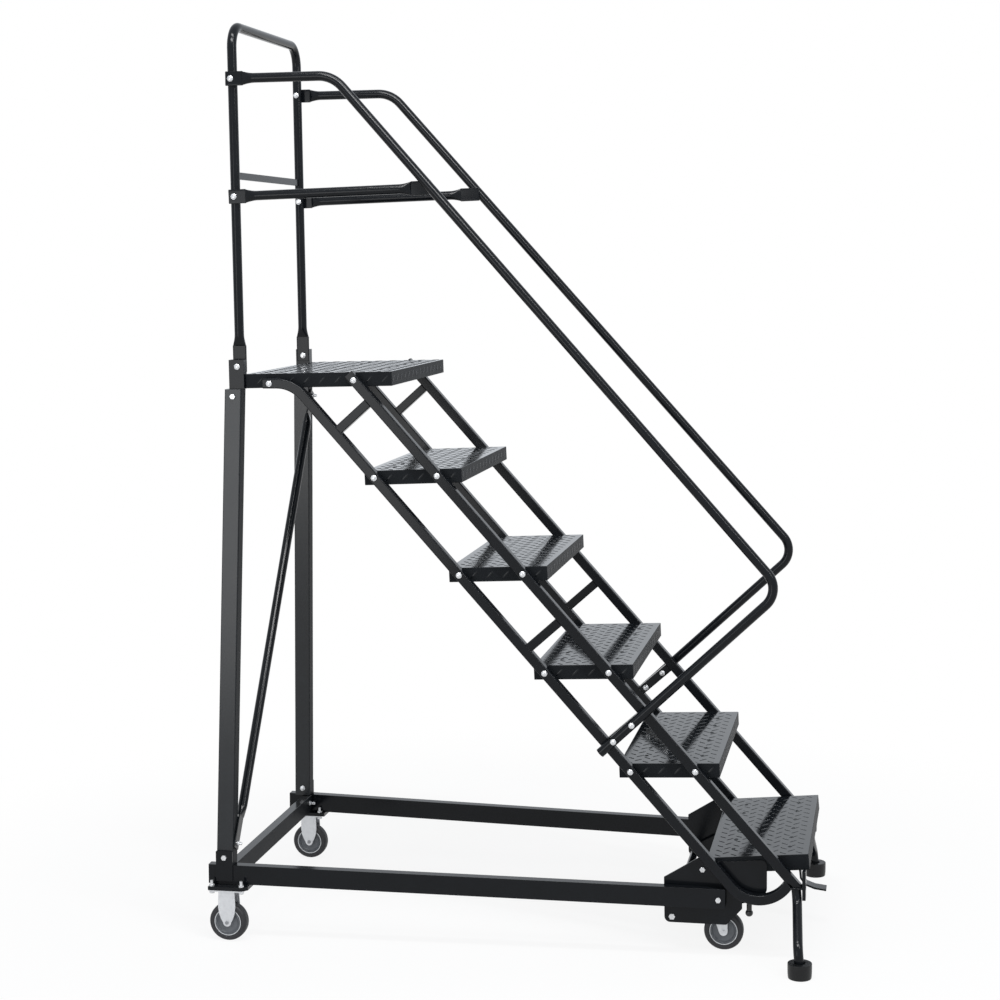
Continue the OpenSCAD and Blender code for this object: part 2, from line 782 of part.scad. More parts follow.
// Caster carriage
module carriage_shaft() {
    color(steel_bright) {
        ybar(shaft, -half_w - over, half_w + over, shaft_d);
        pair()
            yhead(shaft, -half_w - head_h, -half_w, shaft_d + 3);
    }
}
sleeve_gap = 0.5;
module carriage_sleeve() {
    color(steel_black)
        difference() {
            ybar(shaft, sleeve_gap - plate_in, plate_in - sleeve_gap, sleeve_d);
            ybar(shaft, -plate_in, plate_in, shaft_d + 2 * pin_fit);
        }
}
swivel_l = 88;
arm_top = swivel_z + 28;
swivel_in = raceway_d / 2 + 7 - king_y;
arm_front = king_x + 88;
arm_outline = [
    [shaft[0] - lug_r, shaft[1] - 10], [shaft[0] + lug_r, shaft[1] - 12], [king_x - swivel_l / 2, swivel_z],
    [king_x + swivel_l / 2, swivel_z], [arm_front - 8, swivel_z + 8], [arm_front, swivel_z + 14],
    [arm_front, arm_top], [king_x - swivel_l / 2, arm_top], [shaft[0] - lug_r, shaft[1] + 12]];
module carriage_arms() {
    color(steel_black)
        pair()
            difference() {
                yplate(-arm_out, -arm_in, arm_outline);
                ybar(shaft, -arm_out - over, over - arm_in, sleeve_d);
            }
}
module swivel_plates() {
    color(steel_black)
        pair()
            difference() {
                box(king_x - swivel_l / 2, king_x + swivel_l / 2, -arm_out, swivel_in, swivel_z - swivel_t, swivel_z);
                translate([king_x, -king_y, swivel_z - swivel_t - over])
                    cylinder(d = king_d + 2 * pin_fit, h = swivel_t + 2 * over);
            }
}
knob_d = 20;
stem_d = 14;
knob_back = 13;
knob_drop = 22;
module ball_knob() {
    color(steel_black)
        difference() {
            translate([arm_front - knob_back, -(arm_out + arm_in) / 2, swivel_z - knob_drop]) {
                sphere(d = knob_d);
                cylinder(d = stem_d, h = knob_drop + 8);
            }
            yplate(-arm_out, -arm_in, arm_outline);
        }
}

// Release pedal under the bottom tread
lug_t = 4;
lug_gap = 1;
pedal_lug_y = pedal_w / 2 + lug_gap;
module pedal_bracket() {
    color(steel_black)
        difference() {
            union() {
                for (y = [-pedal_lug_y - lug_t, pedal_lug_y])
                    yplate(y, y + lug_t, concat(
                        arc(pedal_pin, 11, 180, 360),
                        [[pedal_pin[0] + 16, pedal_pin[1] + 60], [pedal_pin[0] - 16, pedal_pin[1] + 60]]));
                ybar(pedal_pin, -pedal_lug_y - lug_t - 2, pedal_lug_y + lug_t + 2, pedal_pin_d);
            }
            translate([lock_nose[0], 0, lock_nose[1]])
                rotate([0, -lock_pitch, 0])
                    box(-step_d, 0, -lock_half, lock_half, -sheet, lock_flange);
        }
}
pedal_t = 5.5;
pedal_line = [for (q = [
    [0, 0], [5.5, -56], [9.5, -91], [23.5, -109], [46.5, -117.5], [pedal_tip_x - pedal_pin[0], -121.5]])
    pedal_pin + q];
// A strip of thickness t along a bent line: one side, and both sides as an outline
function beside(line, t) = [for (i = [0:len(line) - 1])
    let (a = line[max(i - 1, 0)], b = line[min(i + 1, len(line) - 1)])
        line[i] + t / 2 / norm(b - a) * [a[1] - b[1], b[0] - a[0]]];
function backwards(line) = [for (i = [len(line) - 1:-1:0]) line[i]];
function strip(line, t) = concat(beside(line, t), backwards(beside(line, -t)));
module release_pedal() {
    color(steel_black)
        difference() {
            union() {
                yplate(-pedal_w / 2, pedal_w / 2, strip(pedal_line, pedal_t));
                ybar(pedal_pin, -pedal_w / 2, pedal_w / 2, pedal_pin_d + 8);
            }
            ybar(pedal_pin, -pedal_w / 2 - over, pedal_w / 2 + over, pedal_pin_d + 2 * pin_fit);
        }
}

// Casters
axle_d = 10;
axle_r = 11;
wheel_gap = 2;
fork_in = wheel_w / 2 + wheel_gap;
fork_out = fork_in + fork_t;
fork_half = 24;
// A fixed fork's leg: a shield outline, from its top at zt down to the axle at the point a
function shield(a, zt) = concat(
    [[a[0] + fork_half - 2, zt], [a[0] - fork_half + 2, zt]],
    [a + [-fork_half, 42], a + [-21.5, 24], a + [-17, 11]],
    arc(a, axle_r, 180, 360, 8),
    [a + [17, 11], a + [21.5, 24], a + [fork_half, 42]]);
// A swivel fork's leg: straight down in front, sloping back behind
function slanted(a, zt) = concat(
    [[a[0] + axle_r, zt], [-fork_half, zt], [-fork_half, zt - 6]],
    arc(a, axle_r, 200, 360, 8));
module tyre(z) {
    translate([0, wheel_w / 2, z])
        rotate([90, 0, 0])
            rotate_extrude()
                polygon([[wheel_d / 2 - 17, 1], [wheel_d / 2 - 5, 0], [wheel_d / 2 - 1.5, 2], [wheel_d / 2, 7],
                    [wheel_d / 2, wheel_w - 7], [wheel_d / 2 - 1.5, wheel_w - 2], [wheel_d / 2 - 5, wheel_w],
                    [wheel_d / 2 - 17, wheel_w - 1]]);
}
module hub(z) {
    translate([0, wheel_w / 2, z])
        rotate([90, 0, 0])
            rotate_extrude()
                polygon([[axle_d / 2 + pin_fit, -1], [14, -1], [14, 6], [27, 6], [29, 2], [wheel_d / 2 - 17, 2],
                    [wheel_d / 2 - 17, wheel_w - 2], [29, wheel_w - 2], [27, wheel_w - 6], [14, wheel_w - 6],
                    [14, wheel_w + 1], [axle_d / 2 + pin_fit, wheel_w + 1]]);
}
module caster_pads() {
    color(steel_black)
        pair()
            difference() {
                union() {
                    translate([rear_wheel_x, 0, caster_h])
                        linear_extrude(pad_t)
                            polygon([[-pad_back, -pad_out], [pad_ahead - 14, -pad_out], [pad_ahead, 14 - pad_out],
                                [pad_ahead, -pad_in], [-pad_back, -pad_in]]);
                    box(rear_wheel_x - pad_back, rear_wheel_x + pad_ahead, -rear_wheel_y + 4, base_rear[1] + 10,
                        caster_h + pad_t, caster_h + pad_t + 8);
                }
                rail_solid();
                for (p = pad_bolts)
                    translate([p[0], p[1], 0])
                        cylinder(d = hole_d, h = big / 6);
            }
}
pad_bolts = [for (x = [-pad_bolt_x, pad_bolt_x]) for (y = [8 - pad_out, -8 - pad_in]) [rear_wheel_x + x, y]];
module rear_forks() {
    color(steel_bright)
        pair()
            difference() {
                union() {
                    box(rear_wheel_x - fork_plate_l / 2, rear_wheel_x + fork_plate_l / 2, 2 - pad_out, -pad_in - 2,
                        caster_h - swivel_t, caster_h);
                    for (y = [-rear_wheel_y - fork_out, fork_in - rear_wheel_y])
                        yplate(y, y + fork_t, shield([rear_wheel_x, wheel_d / 2], caster_h - swivel_t));
                }
                ybar([rear_wheel_x, wheel_d / 2], -big / 2, 0, axle_d);
                for (p = pad_bolts)
                    translate([p[0], p[1], 0])
                        cylinder(d = hole_d, h = big / 6);
            }
}
module axle(y) {
    ybar([0, 0], y - fork_out - 3, y + fork_out + 3, axle_d);
}
module rear_axles() {
    color(steel_bright)
        for (y = [-rear_wheel_y, rear_wheel_y])
            translate([rear_wheel_x, 0, wheel_d / 2])
                axle(y);
}
module rear_hub() {
    color(hub_grey)
        translate([rear_wheel_x, -rear_wheel_y, 0])
            hub(wheel_d / 2);
}
module rear_tyre() {
    color(rubber)
        translate([rear_wheel_x, -rear_wheel_y, 0])
            tyre(wheel_d / 2);
}
bridge_z = swivel_z - swivel_t - 18;
module front_fork() {
    color(steel_bright)
        translate([king_x, -king_y, 0]) {
            box(-fork_half, trail + axle_r, -fork_out, fork_out, bridge_z - fork_t, bridge_z);
            for (y = [-fork_out, fork_in])
                yplate(y, y + fork_t, slanted([trail, front_wheel_z], bridge_z - fork_t));
            translate([0, 0, bridge_z])
                cylinder(d = raceway_d, h = swivel_z - swivel_t - 0.3 - bridge_z);
            translate([0, 0, bridge_z])
                cylinder(d = king_d, h = swivel_z + 6 - bridge_z);
            translate([0, 0, swivel_z + 0.3])
                cylinder(d = king_d + 10, h = 6);
            translate([trail, 0, front_wheel_z])
                axle(0);
        }
}
module front_hub() {
    color(hub_grey)
        translate([wheel_x, -king_y, 0])
            hub(front_wheel_z);
}
module front_tyre() {
    color(rubber)
        translate([wheel_x, -king_y, 0])
            tyre(front_wheel_z);
}

// Front feet
cap_l = 32;
bracket_t = 9;
bracket_x = foot_x + cap_l / 2;
bracket_y = -tube_out - 6;
bracket_top = foot_top + 44;
bracket_low = foot_top - 32;
module foot_brackets() {
    color(steel_black)
        pair() {
            box(foot_x - cap_l / 2, bracket_x + bracket_t, bracket_y, -half_w, foot_top - plate_t, foot_top);
            box(bracket_x, bracket_x + bracket_t, bracket_y, -half_w, bracket_low, bracket_top);
        }
}
socket = 20;
socket_fit = 0.1;
foot_bend = 42;
// The foot tubes' own frame leans forward about their top ends
module on_foot() {
    translate([foot_x, 0, foot_top_z])
        rotate([0, -foot_lean, 0])
            translate([0, 0, -foot_top_z])
                children();
}
module foot_tube() {
    color(steel_black)
        on_foot()
            rotate([0, 0, 90])
                bent_tube(
                    [[-foot_y, foot_top_z], [-foot_y, foot_top - 36], [-foot_out, foot_h + 31],
                    [-foot_out, foot_h - socket]],
                    [0, foot_bend, foot_bend, 0], rail_d, rail_wall, true);
}
module rubber_foot() {
    color(rubber)
        difference() {
            translate([foot_x + foot_ahead, -foot_out, 0])
                cylinder(d = foot_d, h = foot_h);
            on_foot()
                translate([0, -foot_out, foot_h - socket - socket_fit])
                    cylinder(d = rail_d + socket_fit, h = foot_h);
        }
}

// Fasteners
module stringer_bolts() {
    color(steel_bright)
        pair() {
            for (k = [1:fixed_treads])
                for (p = [front_bolt(k), rear_bolt(k)])
                    ybolt(p, -tube_out, sheet - half_w);
            for (p = [deck_front_bolt, deck_rear_bolt])
                ybolt(p, -tube_out, sheet - half_w);
        }
}
module guard_bolts() {
    color(steel_bright)
        pair() {
            ybolt([hoop_x, hoop_bolt_z], -post_out, flat_t / 2 - hoop_y);
            ybolt([hoop_x, rail_z], -rail_y - flat_t / 2 - 0.2, rail_d / 2 - hoop_y);
            ybolt([hoop_x, mid_z], -mid_rear_y - flat_t / 2 - 0.2, rail_d / 2 - hoop_y);
            for (p = [low_bolt_a, low_bolt_b]) {
                ybar(p, -lean_y(p[1]) - rail_d / 2 - over, -tube_mid, bolt_d);
                yhead(p, -lean_y(p[1]) - rail_d / 2 - head_h, -lean_y(p[1]) - rail_d / 2, head_af);
                ybar(p, rail_d / 2 - lean_y(p[1]) + 0.3, -tube_out, head_af);
            }
        }
}
module frame_bolts() {
    color(steel_bright)
        pair() {
            ybar(hinge, -half_w - over, 6.5 - wing_in, hinge_d);
            yhead(hinge, -half_w - head_h, -half_w, head_af);
            ybar(hinge, 0.5 - wing_in, 5 - wing_in, head_af);
            ybolt(rail_bolt, -rail_bolt_y, -plate_in);
            on_leg() {
                ybar(leg_bolt, -leg_y / 2 - over, leg_wall + 6 - leg_y / 2, bolt_d);
                yhead(leg_bolt, -leg_y / 2 - head_h, -leg_y / 2, head_af);
            }
            on_rail()
                ybar(tab_bolt, -base_t / 2 - plate_t - over, 6 - base_t / 2, bolt_d);
            on_rail()
                yhead(tab_bolt, -base_t / 2 - plate_t - head_h, -base_t / 2 - plate_t, head_af);
        }
    color(steel_bright) {
        brace_bolt(brace_foot);
        right()
            brace_bolt(brace_top);
    }
}
// A bolt through the brace and a leg's front face, its nut and free end in front
module brace_bolt(z) {
    face = leg_x / 2 + flat_t + 2 * brace_gap;
    leg_xbar(z, leg_x / 2 - leg_wall - 6, face + head_h + 8, bolt_d);
    leg_xbar(z, face, face + head_h, nut_af);
}
module caster_bolts() {
    color(steel_bright)
        pair()
            for (p = pad_bolts)
                translate([p[0], p[1], 0]) {
                    translate([0, 0, caster_h - swivel_t - head_h])
                        cylinder(d = nut_af / cos(30), h = head_h, $fn = 6);
                    translate([0, 0, caster_h - swivel_t - over])
                        cylinder(d = bolt_d, h = over + swivel_t + pad_t + pad_bolt_out);
                    translate([0, 0, caster_h + pad_t])
                        cylinder(d = nut_af / cos(30), h = head_h, $fn = 6);
                }
}

deck();
tread(4);  // tread_2
tread(3);  // tread_3
tread(2);  // tread_4
tread(1);  // tread_5
lock_tread();
lock_wings();
front_stringer();  // front_stringer_left
right() front_stringer();  // front_stringer_right
rear_stringer();  // rear_stringer_left
right() rear_stringer();  // rear_stringer_right
link_bars();
guard_hoop();
hoop_cross_bar();
handrail();  // handrail_left
right() handrail();  // handrail_right
mid_rail();  // mid_rail_left
right() mid_rail();  // mid_rail_right
corner_posts();
rear_leg(brace_foot);  // rear_leg_left
right() rear_leg(brace_top);  // rear_leg_right
leg_tabs();
diagonal_brace();
base_rail();  // base_rail_left
right() base_rail();  // base_rail_right
base_cross_rail();
side_plate();  // side_plate_left
right() side_plate();  // side_plate_right
carriage_shaft();
carriage_sleeve();
carriage_arms();
swivel_plates();
ball_knob();
pedal_bracket();
release_pedal();
caster_pads();
rear_forks();
rear_axles();
rear_hub();  // rear_hub_left
right() rear_hub();  // rear_hub_right
rear_tyre();  // rear_tyre_left
right() rear_tyre();  // rear_tyre_right
front_fork();  // front_fork_left
right() front_fork();  // front_fork_right
front_hub();  // front_hub_left
right() front_hub();  // front_hub_right
front_tyre();  // front_tyre_left
right() front_tyre();  // front_tyre_right
foot_brackets();
foot_tube();  // foot_tube_left
right() foot_tube();  // foot_tube_right
rubber_foot();  // rubber_foot_left
right() rubber_foot();  // rubber_foot_right
stringer_bolts();
guard_bolts();
frame_bolts();
caster_bolts();
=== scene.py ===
import json
import math

import bpy
import bmesh
from mathutils import Matrix, Vector

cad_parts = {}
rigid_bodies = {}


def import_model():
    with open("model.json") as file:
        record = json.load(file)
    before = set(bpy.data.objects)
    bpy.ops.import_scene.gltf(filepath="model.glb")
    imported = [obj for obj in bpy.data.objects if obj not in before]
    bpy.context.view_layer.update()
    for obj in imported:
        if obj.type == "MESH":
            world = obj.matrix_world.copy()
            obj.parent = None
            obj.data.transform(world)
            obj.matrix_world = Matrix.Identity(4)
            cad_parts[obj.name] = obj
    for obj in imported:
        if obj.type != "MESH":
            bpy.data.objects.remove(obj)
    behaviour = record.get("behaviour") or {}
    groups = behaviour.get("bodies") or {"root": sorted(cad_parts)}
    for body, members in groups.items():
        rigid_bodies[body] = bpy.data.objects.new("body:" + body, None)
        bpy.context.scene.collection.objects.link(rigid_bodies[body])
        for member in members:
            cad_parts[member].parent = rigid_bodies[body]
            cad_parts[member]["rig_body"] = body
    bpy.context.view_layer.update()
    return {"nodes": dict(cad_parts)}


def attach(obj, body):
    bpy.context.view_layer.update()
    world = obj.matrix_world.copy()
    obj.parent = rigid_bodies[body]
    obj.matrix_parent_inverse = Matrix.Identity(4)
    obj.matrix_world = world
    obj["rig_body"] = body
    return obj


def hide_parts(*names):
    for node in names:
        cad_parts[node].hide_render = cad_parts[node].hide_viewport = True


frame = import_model()
print("frame loaded:", len(frame["nodes"]), "nodes")

mm = 0.001
axisX, axisY, axisZ = Vector((1, 0, 0)), Vector((0, 1, 0)), Vector((0, 0, 1))


# Colours and materials

def srgb(hexText):
    parts = [int(hexText[i:i + 2], 16) / 255 for i in (1, 3, 5)]
    return tuple(c / 12.92 if c <= 0.04045 else ((c + 0.055) / 1.055) ** 2.4 for c in parts) + (1.0,)


def addNode(tree, kind, values=None, links=None, **settings):
    node = tree.nodes.new(kind)
    for name, value in settings.items():
        setattr(node, name, value)
    for name, value in (values or {}).items():
        node.inputs[name].default_value = value
    for name, socket in (links or {}).items():
        tree.links.new(socket, node.inputs[name])
    return node


# Each finish drifts between two shades, with a roughness that drifts along and a grain for the bump; drift and grain
# are in mm. The powder coat's orange peel is drawn coarser than the real one, so that it shows.
finishes = {
    # Semi-gloss black powder coat on tube: nearly black, with a clean narrow sheen
    "powderCoatBlack": {"base": "#0d0f12", "shades": ("#0d0f12", "#13161a"), "drift": 60, "grain": 9.0, "bump": 0.0,
                        "rough": (0.14, 0.18), "specular": 0.17},
    # The same coat on the legs, in lighter shades with a stronger sheen: a painted sheen for the light the legs catch
    "powderCoatLegsPaintedSheen": {"base": "#15181b", "shades": ("#15181b", "#1c2024"), "drift": 60, "grain": 9.0, "bump": 0.01,
                       "rough": (0.2, 0.26), "specular": 0.36},
    # The same coat on folded edges and on sides turned along the ladder, drawn dull: a painted shade for faces turned
    # from the light
    "powderCoatPaintedShade": {"base": "#15171a", "shades": ("#15171a", "#1c1f22"), "drift": 60, "grain": 4.0, "bump": 0.05,
                        "rough": (0.46, 0.54), "specular": 0.07},
    # The same coat pooled on rolled pattern plate: wet, with a slow wave that breaks up what it mirrors
    "powderCoatPlate": {"base": "#0e1114", "shades": ("#0e1114", "#161a1e"), "drift": 60, "grain": 16.0, "bump": 0.2,
                        "rough": (0.07, 0.1), "specular": 0.24},
    # Solid rubber tyre: near-black, satin, slightly dusty
    "tyreRubber": {"base": "#242426", "shades": ("#1c1c1e", "#2d2d30"), "drift": 25, "grain": 1.5, "bump": 0.2,
                   "rough": (0.5, 0.65), "specular": 0.4},
    # Moulded rubber of the feet: matt black; the same black closes each drain hole as a painted shade
    "footRubberAndDrainShade": {"base": "#0b0b0c", "shades": ("#090a0b", "#101113"), "drift": 30, "grain": 3.0, "bump": 0.1,
                   "rough": (0.34, 0.44), "specular": 0.3},
    # Moulded grey polypropylene wheel core: flat colour with a faint sheen
    "hubPolypropylene": {"base": "#5e6165", "shades": ("#585b5f", "#66696d"), "drift": 20, "grain": 2.0, "bump": 0.06,
                         "rough": (0.4, 0.5), "specular": 0.4},
    # Bright zinc plate on pressed forks: light, slightly milky metal
    "zincPlateFork": {"base": "#dcdddf", "shades": ("#bfc1c4", "#dcdddf"), "drift": 14, "grain": 1.2, "bump": 0.08,
                      "rough": (0.3, 0.42), "metallic": 0.55},
    # Bright zinc plate on bolts and the shaft: lighter and a little sharper
    "zincPlateBolt": {"base": "#e2e3e4", "shades": ("#c3c4c6", "#e2e3e4"), "drift": 14, "grain": 1.2, "bump": 0.08,
                      "rough": (0.2, 0.32), "metallic": 0.55},
    # Dulled zinc plate on the axles' nuts: mid-grey metal
    "zincPlateNut": {"base": "#97999c", "shades": ("#7d7f82", "#97999c"), "drift": 14, "grain": 1.2, "bump": 0.08,
                     "rough": (0.25, 0.38), "metallic": 0.55},
    # A thin pale circle in each wheel core, drawn in zinc-like metal: a painted highlight on the lip between tyre and
    # hub
    "paintedRimHighlight": {"base": "#d6d8da", "shades": ("#c2c4c7", "#d6d8da"), "drift": 14, "grain": 1.2, "bump": 0.08,
                     "rough": (0.35, 0.45), "metallic": 0.55},
    # Moulded black phenolic of the ball knob: hard and shiny
    "knobPhenolic": {"base": "#0d0d0e", "shades": ("#0b0b0c", "#141415"), "drift": 12, "grain": 1.5, "bump": 0.05,
                     "rough": (0.16, 0.24)},
}


def makeFinish(name):
    look = finishes[name]
    mat = bpy.data.materials.new(name)
    mat.use_nodes = True
    tree = mat.node_tree
    shader = tree.nodes["Principled BSDF"]
    shader.inputs["Base Color"].default_value = srgb(look["base"])
    shader.inputs["Metallic"].default_value = look.get("metallic", 0.0)
    shader.inputs["Roughness"].default_value = look["rough"][0]
    shader.inputs["Specular IOR Level"].default_value = look.get("specular", 0.5)
    coords = addNode(tree, "ShaderNodeTexCoord")
    drift = addNode(tree, "ShaderNodeTexNoise", {"Scale": 1 / (look["drift"] * mm), "Detail": 4.0, "Roughness": 0.6},
                    {"Vector": coords.outputs["Object"]})
    shades = addNode(tree, "ShaderNodeMix", {6: srgb(look["shades"][0]), 7: srgb(look["shades"][1])},
                     {0: drift.outputs["Fac"]}, data_type="RGBA")
    tree.links.new(shades.outputs[2], shader.inputs["Base Color"])
    gloss = addNode(tree, "ShaderNodeMapRange", {"To Min": look["rough"][0], "To Max": look["rough"][1]},
                    {"Value": drift.outputs["Fac"]})
    tree.links.new(gloss.outputs[0], shader.inputs["Roughness"])
    grain = addNode(tree, "ShaderNodeTexNoise", {"Scale": 1 / (look["grain"] * mm), "Detail": 2.0},
                    {"Vector": coords.outputs["Object"]})
    relief = addNode(tree, "ShaderNodeBump", {"Strength": look["bump"], "Distance": 0.4 * mm},
                     {"Height": grain.outputs["Fac"]})
    tree.links.new(relief.outputs["Normal"], shader.inputs["Normal"])
    return mat


coat = makeFinish("powderCoatBlack")
legCoat = makeFinish("powderCoatLegsPaintedSheen")
paintedShadeCoat = makeFinish("powderCoatPaintedShade")
plate = makeFinish("powderCoatPlate")
tyreRubber = makeFinish("tyreRubber")
footRubberAndDrainShade = makeFinish("footRubberAndDrainShade")
hubPlastic = makeFinish("hubPolypropylene")
zincFork = makeFinish("zincPlateFork")
zincBolt = makeFinish("zincPlateBolt")
zincNut = makeFinish("zincPlateNut")
rimHighlightPaint = makeFinish("paintedRimHighlight")
knobPlastic = makeFinish("knobPhenolic")
print("materials made")


# Mesh helpers

def rad(deg):
    return deg * math.pi / 180


def placed(name, mesh):
    holder = bpy.data.objects.new(name, mesh)
    bpy.context.scene.collection.objects.link(holder)
    return holder


# A smooth-shaded object; edges past the angle given stay sharp
def smoothObject(name, bm, mats=(), sharp=None):
    mesh = bpy.data.meshes.new(name)
    bm.to_mesh(mesh)
    bm.free()
    for mat in mats:
        mesh.materials.append(mat)
    mesh.polygons.foreach_set("use_smooth", [True] * len(mesh.polygons))
    if sharp:
        mesh.set_sharp_from_angle(angle=rad(sharp))
    return placed(name, mesh)


def finishPiece(name, bm, mats, body, nodes, sharp=40, even=True):
    bmesh.ops.recalc_face_normals(bm, faces=bm.faces)
    piece = smoothObject(name, bm, mats, sharp)
    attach(piece, body)
    if nodes:
        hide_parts(*nodes)
    if even:
        evenNormals(piece)
    return piece


# A frame piece of black tube
def finishTube(name, bm, node):
    finishPiece(name, bm, [coat], "frame", [node])


# Flat faces keep one normal, so that only rounded edges catch a gradient
def evenNormals(piece):
    mod = piece.modifiers.new("even", "WEIGHTED_NORMAL")
    mod.keep_sharp = True
    mod.weight = 100


# The sides that look along the ladder take the duller coat, a painted shade
def paintShadeOnSides(piece):
    for face in piece.data.polygons:
        face.material_index = 1 if abs(face.normal.x) > 0.8 else 0


def bevelled(piece, width, segments=2):
    mod = piece.modifiers.new("edges", "BEVEL")
    mod.harden_normals = True
    mod.width = width * mm
    mod.segments = segments
    mod.limit_method = "ANGLE"
    mod.angle_limit = rad(40)
    evenNormals(piece)


def turnSteps(count, shift=0.0):
    return [2 * math.pi * (i + shift) / count for i in range(count)]


# Quads from each closed ring of points to the next
def joinRings(bm, rows):
    count = len(rows[0])
    for a, b in zip(rows, rows[1:]):
        for i in range(count):
            j = (i + 1) % count
            bm.faces.new((a[i], a[j], b[j], b[i]))


# Rings of points joined into a skin, capped at both ends; openEnd (bore share, depth) sinks a bore in the last cap
def skin(bm, rings, openEnd=None):
    rows = [[bm.verts.new(p) for p in ring] for ring in rings]
    joinRings(bm, rows)
    bm.faces.new(rows[0])
    if not openEnd:
        bm.faces.new(rows[-1])
        return
    ratio, depth = openEnd
    count = len(rows[0])
    centre = sum((Vector(p) for p in rings[-1]), Vector()) / count
    before = sum((Vector(p) for p in rings[-2]), Vector()) / count
    inward = (before - centre).normalized() * depth
    lip = [bm.verts.new(centre + (Vector(p) - centre) * ratio) for p in rings[-1]]
    deep = [bm.verts.new(centre + (Vector(p) - centre) * ratio + inward) for p in rings[-1]]
    joinRings(bm, (rows[-1], lip, deep))
    bm.faces.new(deep)


# A plane to draw in: where (0, 0) lies, its two directions and its normal, all in mm
def planeAt(origin, first, second):
    first, second = Vector(first).normalized(), Vector(second).normalized()
    return {"o": Vector(origin), "a": first, "b": second, "n": first.cross(second)}


# Straight pieces and arcs through the points, as a list of stretches; each inner point has its bend's radius
def bentPath(points, radii=()):
    pts = [Vector(p) for p in points]
    stretches = []
    start = pts[0]
    for i in range(1, len(pts)):
        along = (pts[i] - pts[i - 1]).normalized()
        if i == len(pts) - 1:
            stretches.append({"arc": False, "p": start, "d": along, "len": (pts[i] - start).length})
            break
        after = (pts[i + 1] - pts[i]).normalized()
        turn = math.atan2(along.x * after.y - along.y * after.x, along.dot(after))
        radius = radii[i - 1]
        cut = radius * math.tan(abs(turn) / 2)
        stop = pts[i] - along * cut
        stretches.append({"arc": False, "p": start, "d": along, "len": (stop - start).length})
        side = Vector((-along.y, along.x)) * (1 if turn > 0 else -1)
        stretches.append({"arc": True, "c": stop + side * radius, "r": radius, "s": -side, "turn": turn, "d": along,
                          "len": abs(turn) * radius})
        start = pts[i] + after * cut
    return stretches


def turned(v, angle):
    return Vector((v.x * math.cos(angle) - v.y * math.sin(angle), v.x * math.sin(angle) + v.y * math.cos(angle)))


# Point and direction at each distance that matters along a path
def walkPath(stretches, extra=(), arcStep=5):
    total = sum(s["len"] for s in stretches)
    marks = {0.0, total} | {d if d >= 0 else total + d for d in extra}
    at = 0.0
    for s in stretches:
        marks |= {at, at + s["len"]}
        if s["arc"]:
            steps = max(2, math.ceil(math.degrees(abs(s["turn"])) / arcStep))
            marks |= {at + s["len"] * i / steps for i in range(steps)}
        at += s["len"]
    ordered = []
    for d in sorted(marks):
        if not ordered or d - ordered[-1] > 0.05:
            ordered.append(d)
    out = []
    for d in ordered:
        at = 0.0
        for s in stretches:
            if d <= at + s["len"] + 0.01 or s is stretches[-1]:
                part = d - at
                if s["arc"]:
                    angle = s["turn"] * part / s["len"]
                    out.append((s["c"] + turned(s["s"], angle) * s["r"], turned(s["d"], angle), d, total))
                else:
                    out.append((s["p"] + s["d"] * part, s["d"], d, total))
                break
            at += s["len"]
    return out


def pointOn(plane, p, direction, u, v):
    side = Vector((-direction.y, direction.x))
    q = p + side * u
    return (plane["o"] + plane["a"] * q.x + plane["b"] * q.y + plane["n"] * v) * mm


# A section from circle (power 2) to nearly a box (power 8)
def superSection(halfU, halfV, power, count=28):
    pts = []
    for t in turnSteps(count, 0.5):
        c, s = math.cos(t), math.sin(t)
        pts.append((halfU * math.copysign(abs(c) ** (2 / power), c), halfV * math.copysign(abs(s) ** (2 / power), s)))
    return pts


def boxSection(halfU, halfV, corner, steps=4):
    pts = []
    for k, (su, sv) in enumerate(((1, 1), (-1, 1), (-1, -1), (1, -1))):
        for i in range(steps + 1):
            t = rad(90 * k + 90 * i / steps)
            pts.append((su * (halfU - corner) + corner * math.cos(t), sv * (halfV - corner) + corner * math.sin(t)))
    return pts


# A tube's pressed end: the edge's rounding, how much it thins there, and the neck's swell and fall
pressed = {"edge": 1.2, "thin": 1.0, "swell": 0.86, "fall": 1.7, "steps": 10, "wall": 2.0, "boreDepth": 30.0}


# How far a round tube is pressed flat, from 1 (flat) to 0 (round), at distance d
def flatness(d, total, flatStart, flatEnd, taper):
    best = 0.0
    for dist, flat in ((d, flatStart), (total - d, flatEnd)):
        if flat:
            t = min(1.0, max(0.0, (dist - flat) / taper))
            best = max(best, 1.0 if t == 0 else pressed["swell"] * (1 - t) ** pressed["fall"])
    return best


# A round tube along a path, pressed flat at its ends where asked; wideAcross turns the flats across the plane
def roundTube(bm, plane, stretches, flatStart=0, flatEnd=0, wideAcross=False, openEnd=False):
    dia, flatW, flatT, taper = rails["dia"], rails["flatW"], rails["flatT"], rails["taper"]
    edge, steps = pressed["edge"], pressed["steps"]
    extra = []
    for flat, sign in ((flatStart, 1), (flatEnd, -1)):
        if flat:
            extra += [sign * edge, sign * (flat + edge)] + [sign * (flat + taper * i / steps) for i in range(steps + 1)]
    rings = []
    for p, d, dist, total in walkPath(stretches, extra):
        f = flatness(dist, total, flatStart, flatEnd, taper)
        wide, thin = dia / 2 + (flatW - dia) / 2 * f, dia / 2 + (flatT - dia) / 2 * f
        if (flatStart and dist < 0.5) or (flatEnd and total - dist < 0.5):
            wide, thin = wide - edge, thin - pressed["thin"]
        power = 2 + 6 * f * f  # round where open, nearly a box where flat
        halfU, halfV = (thin, wide) if wideAcross else (wide, thin)
        rings.append([pointOn(plane, p, d, u, v) for u, v in superSection(halfU, halfV, power)])
    skin(bm, rings, (1 - 2 * pressed["wall"] / dia, pressed["boreDepth"] * mm) if openEnd else None)


def squareTube(bm, plane, stretches, halfU, halfV, corner):
    section = boxSection(halfU, halfV, corner)
    skin(bm, [[pointOn(plane, p, d, u, v) for u, v in section] for p, d, _, _ in walkPath(stretches)])


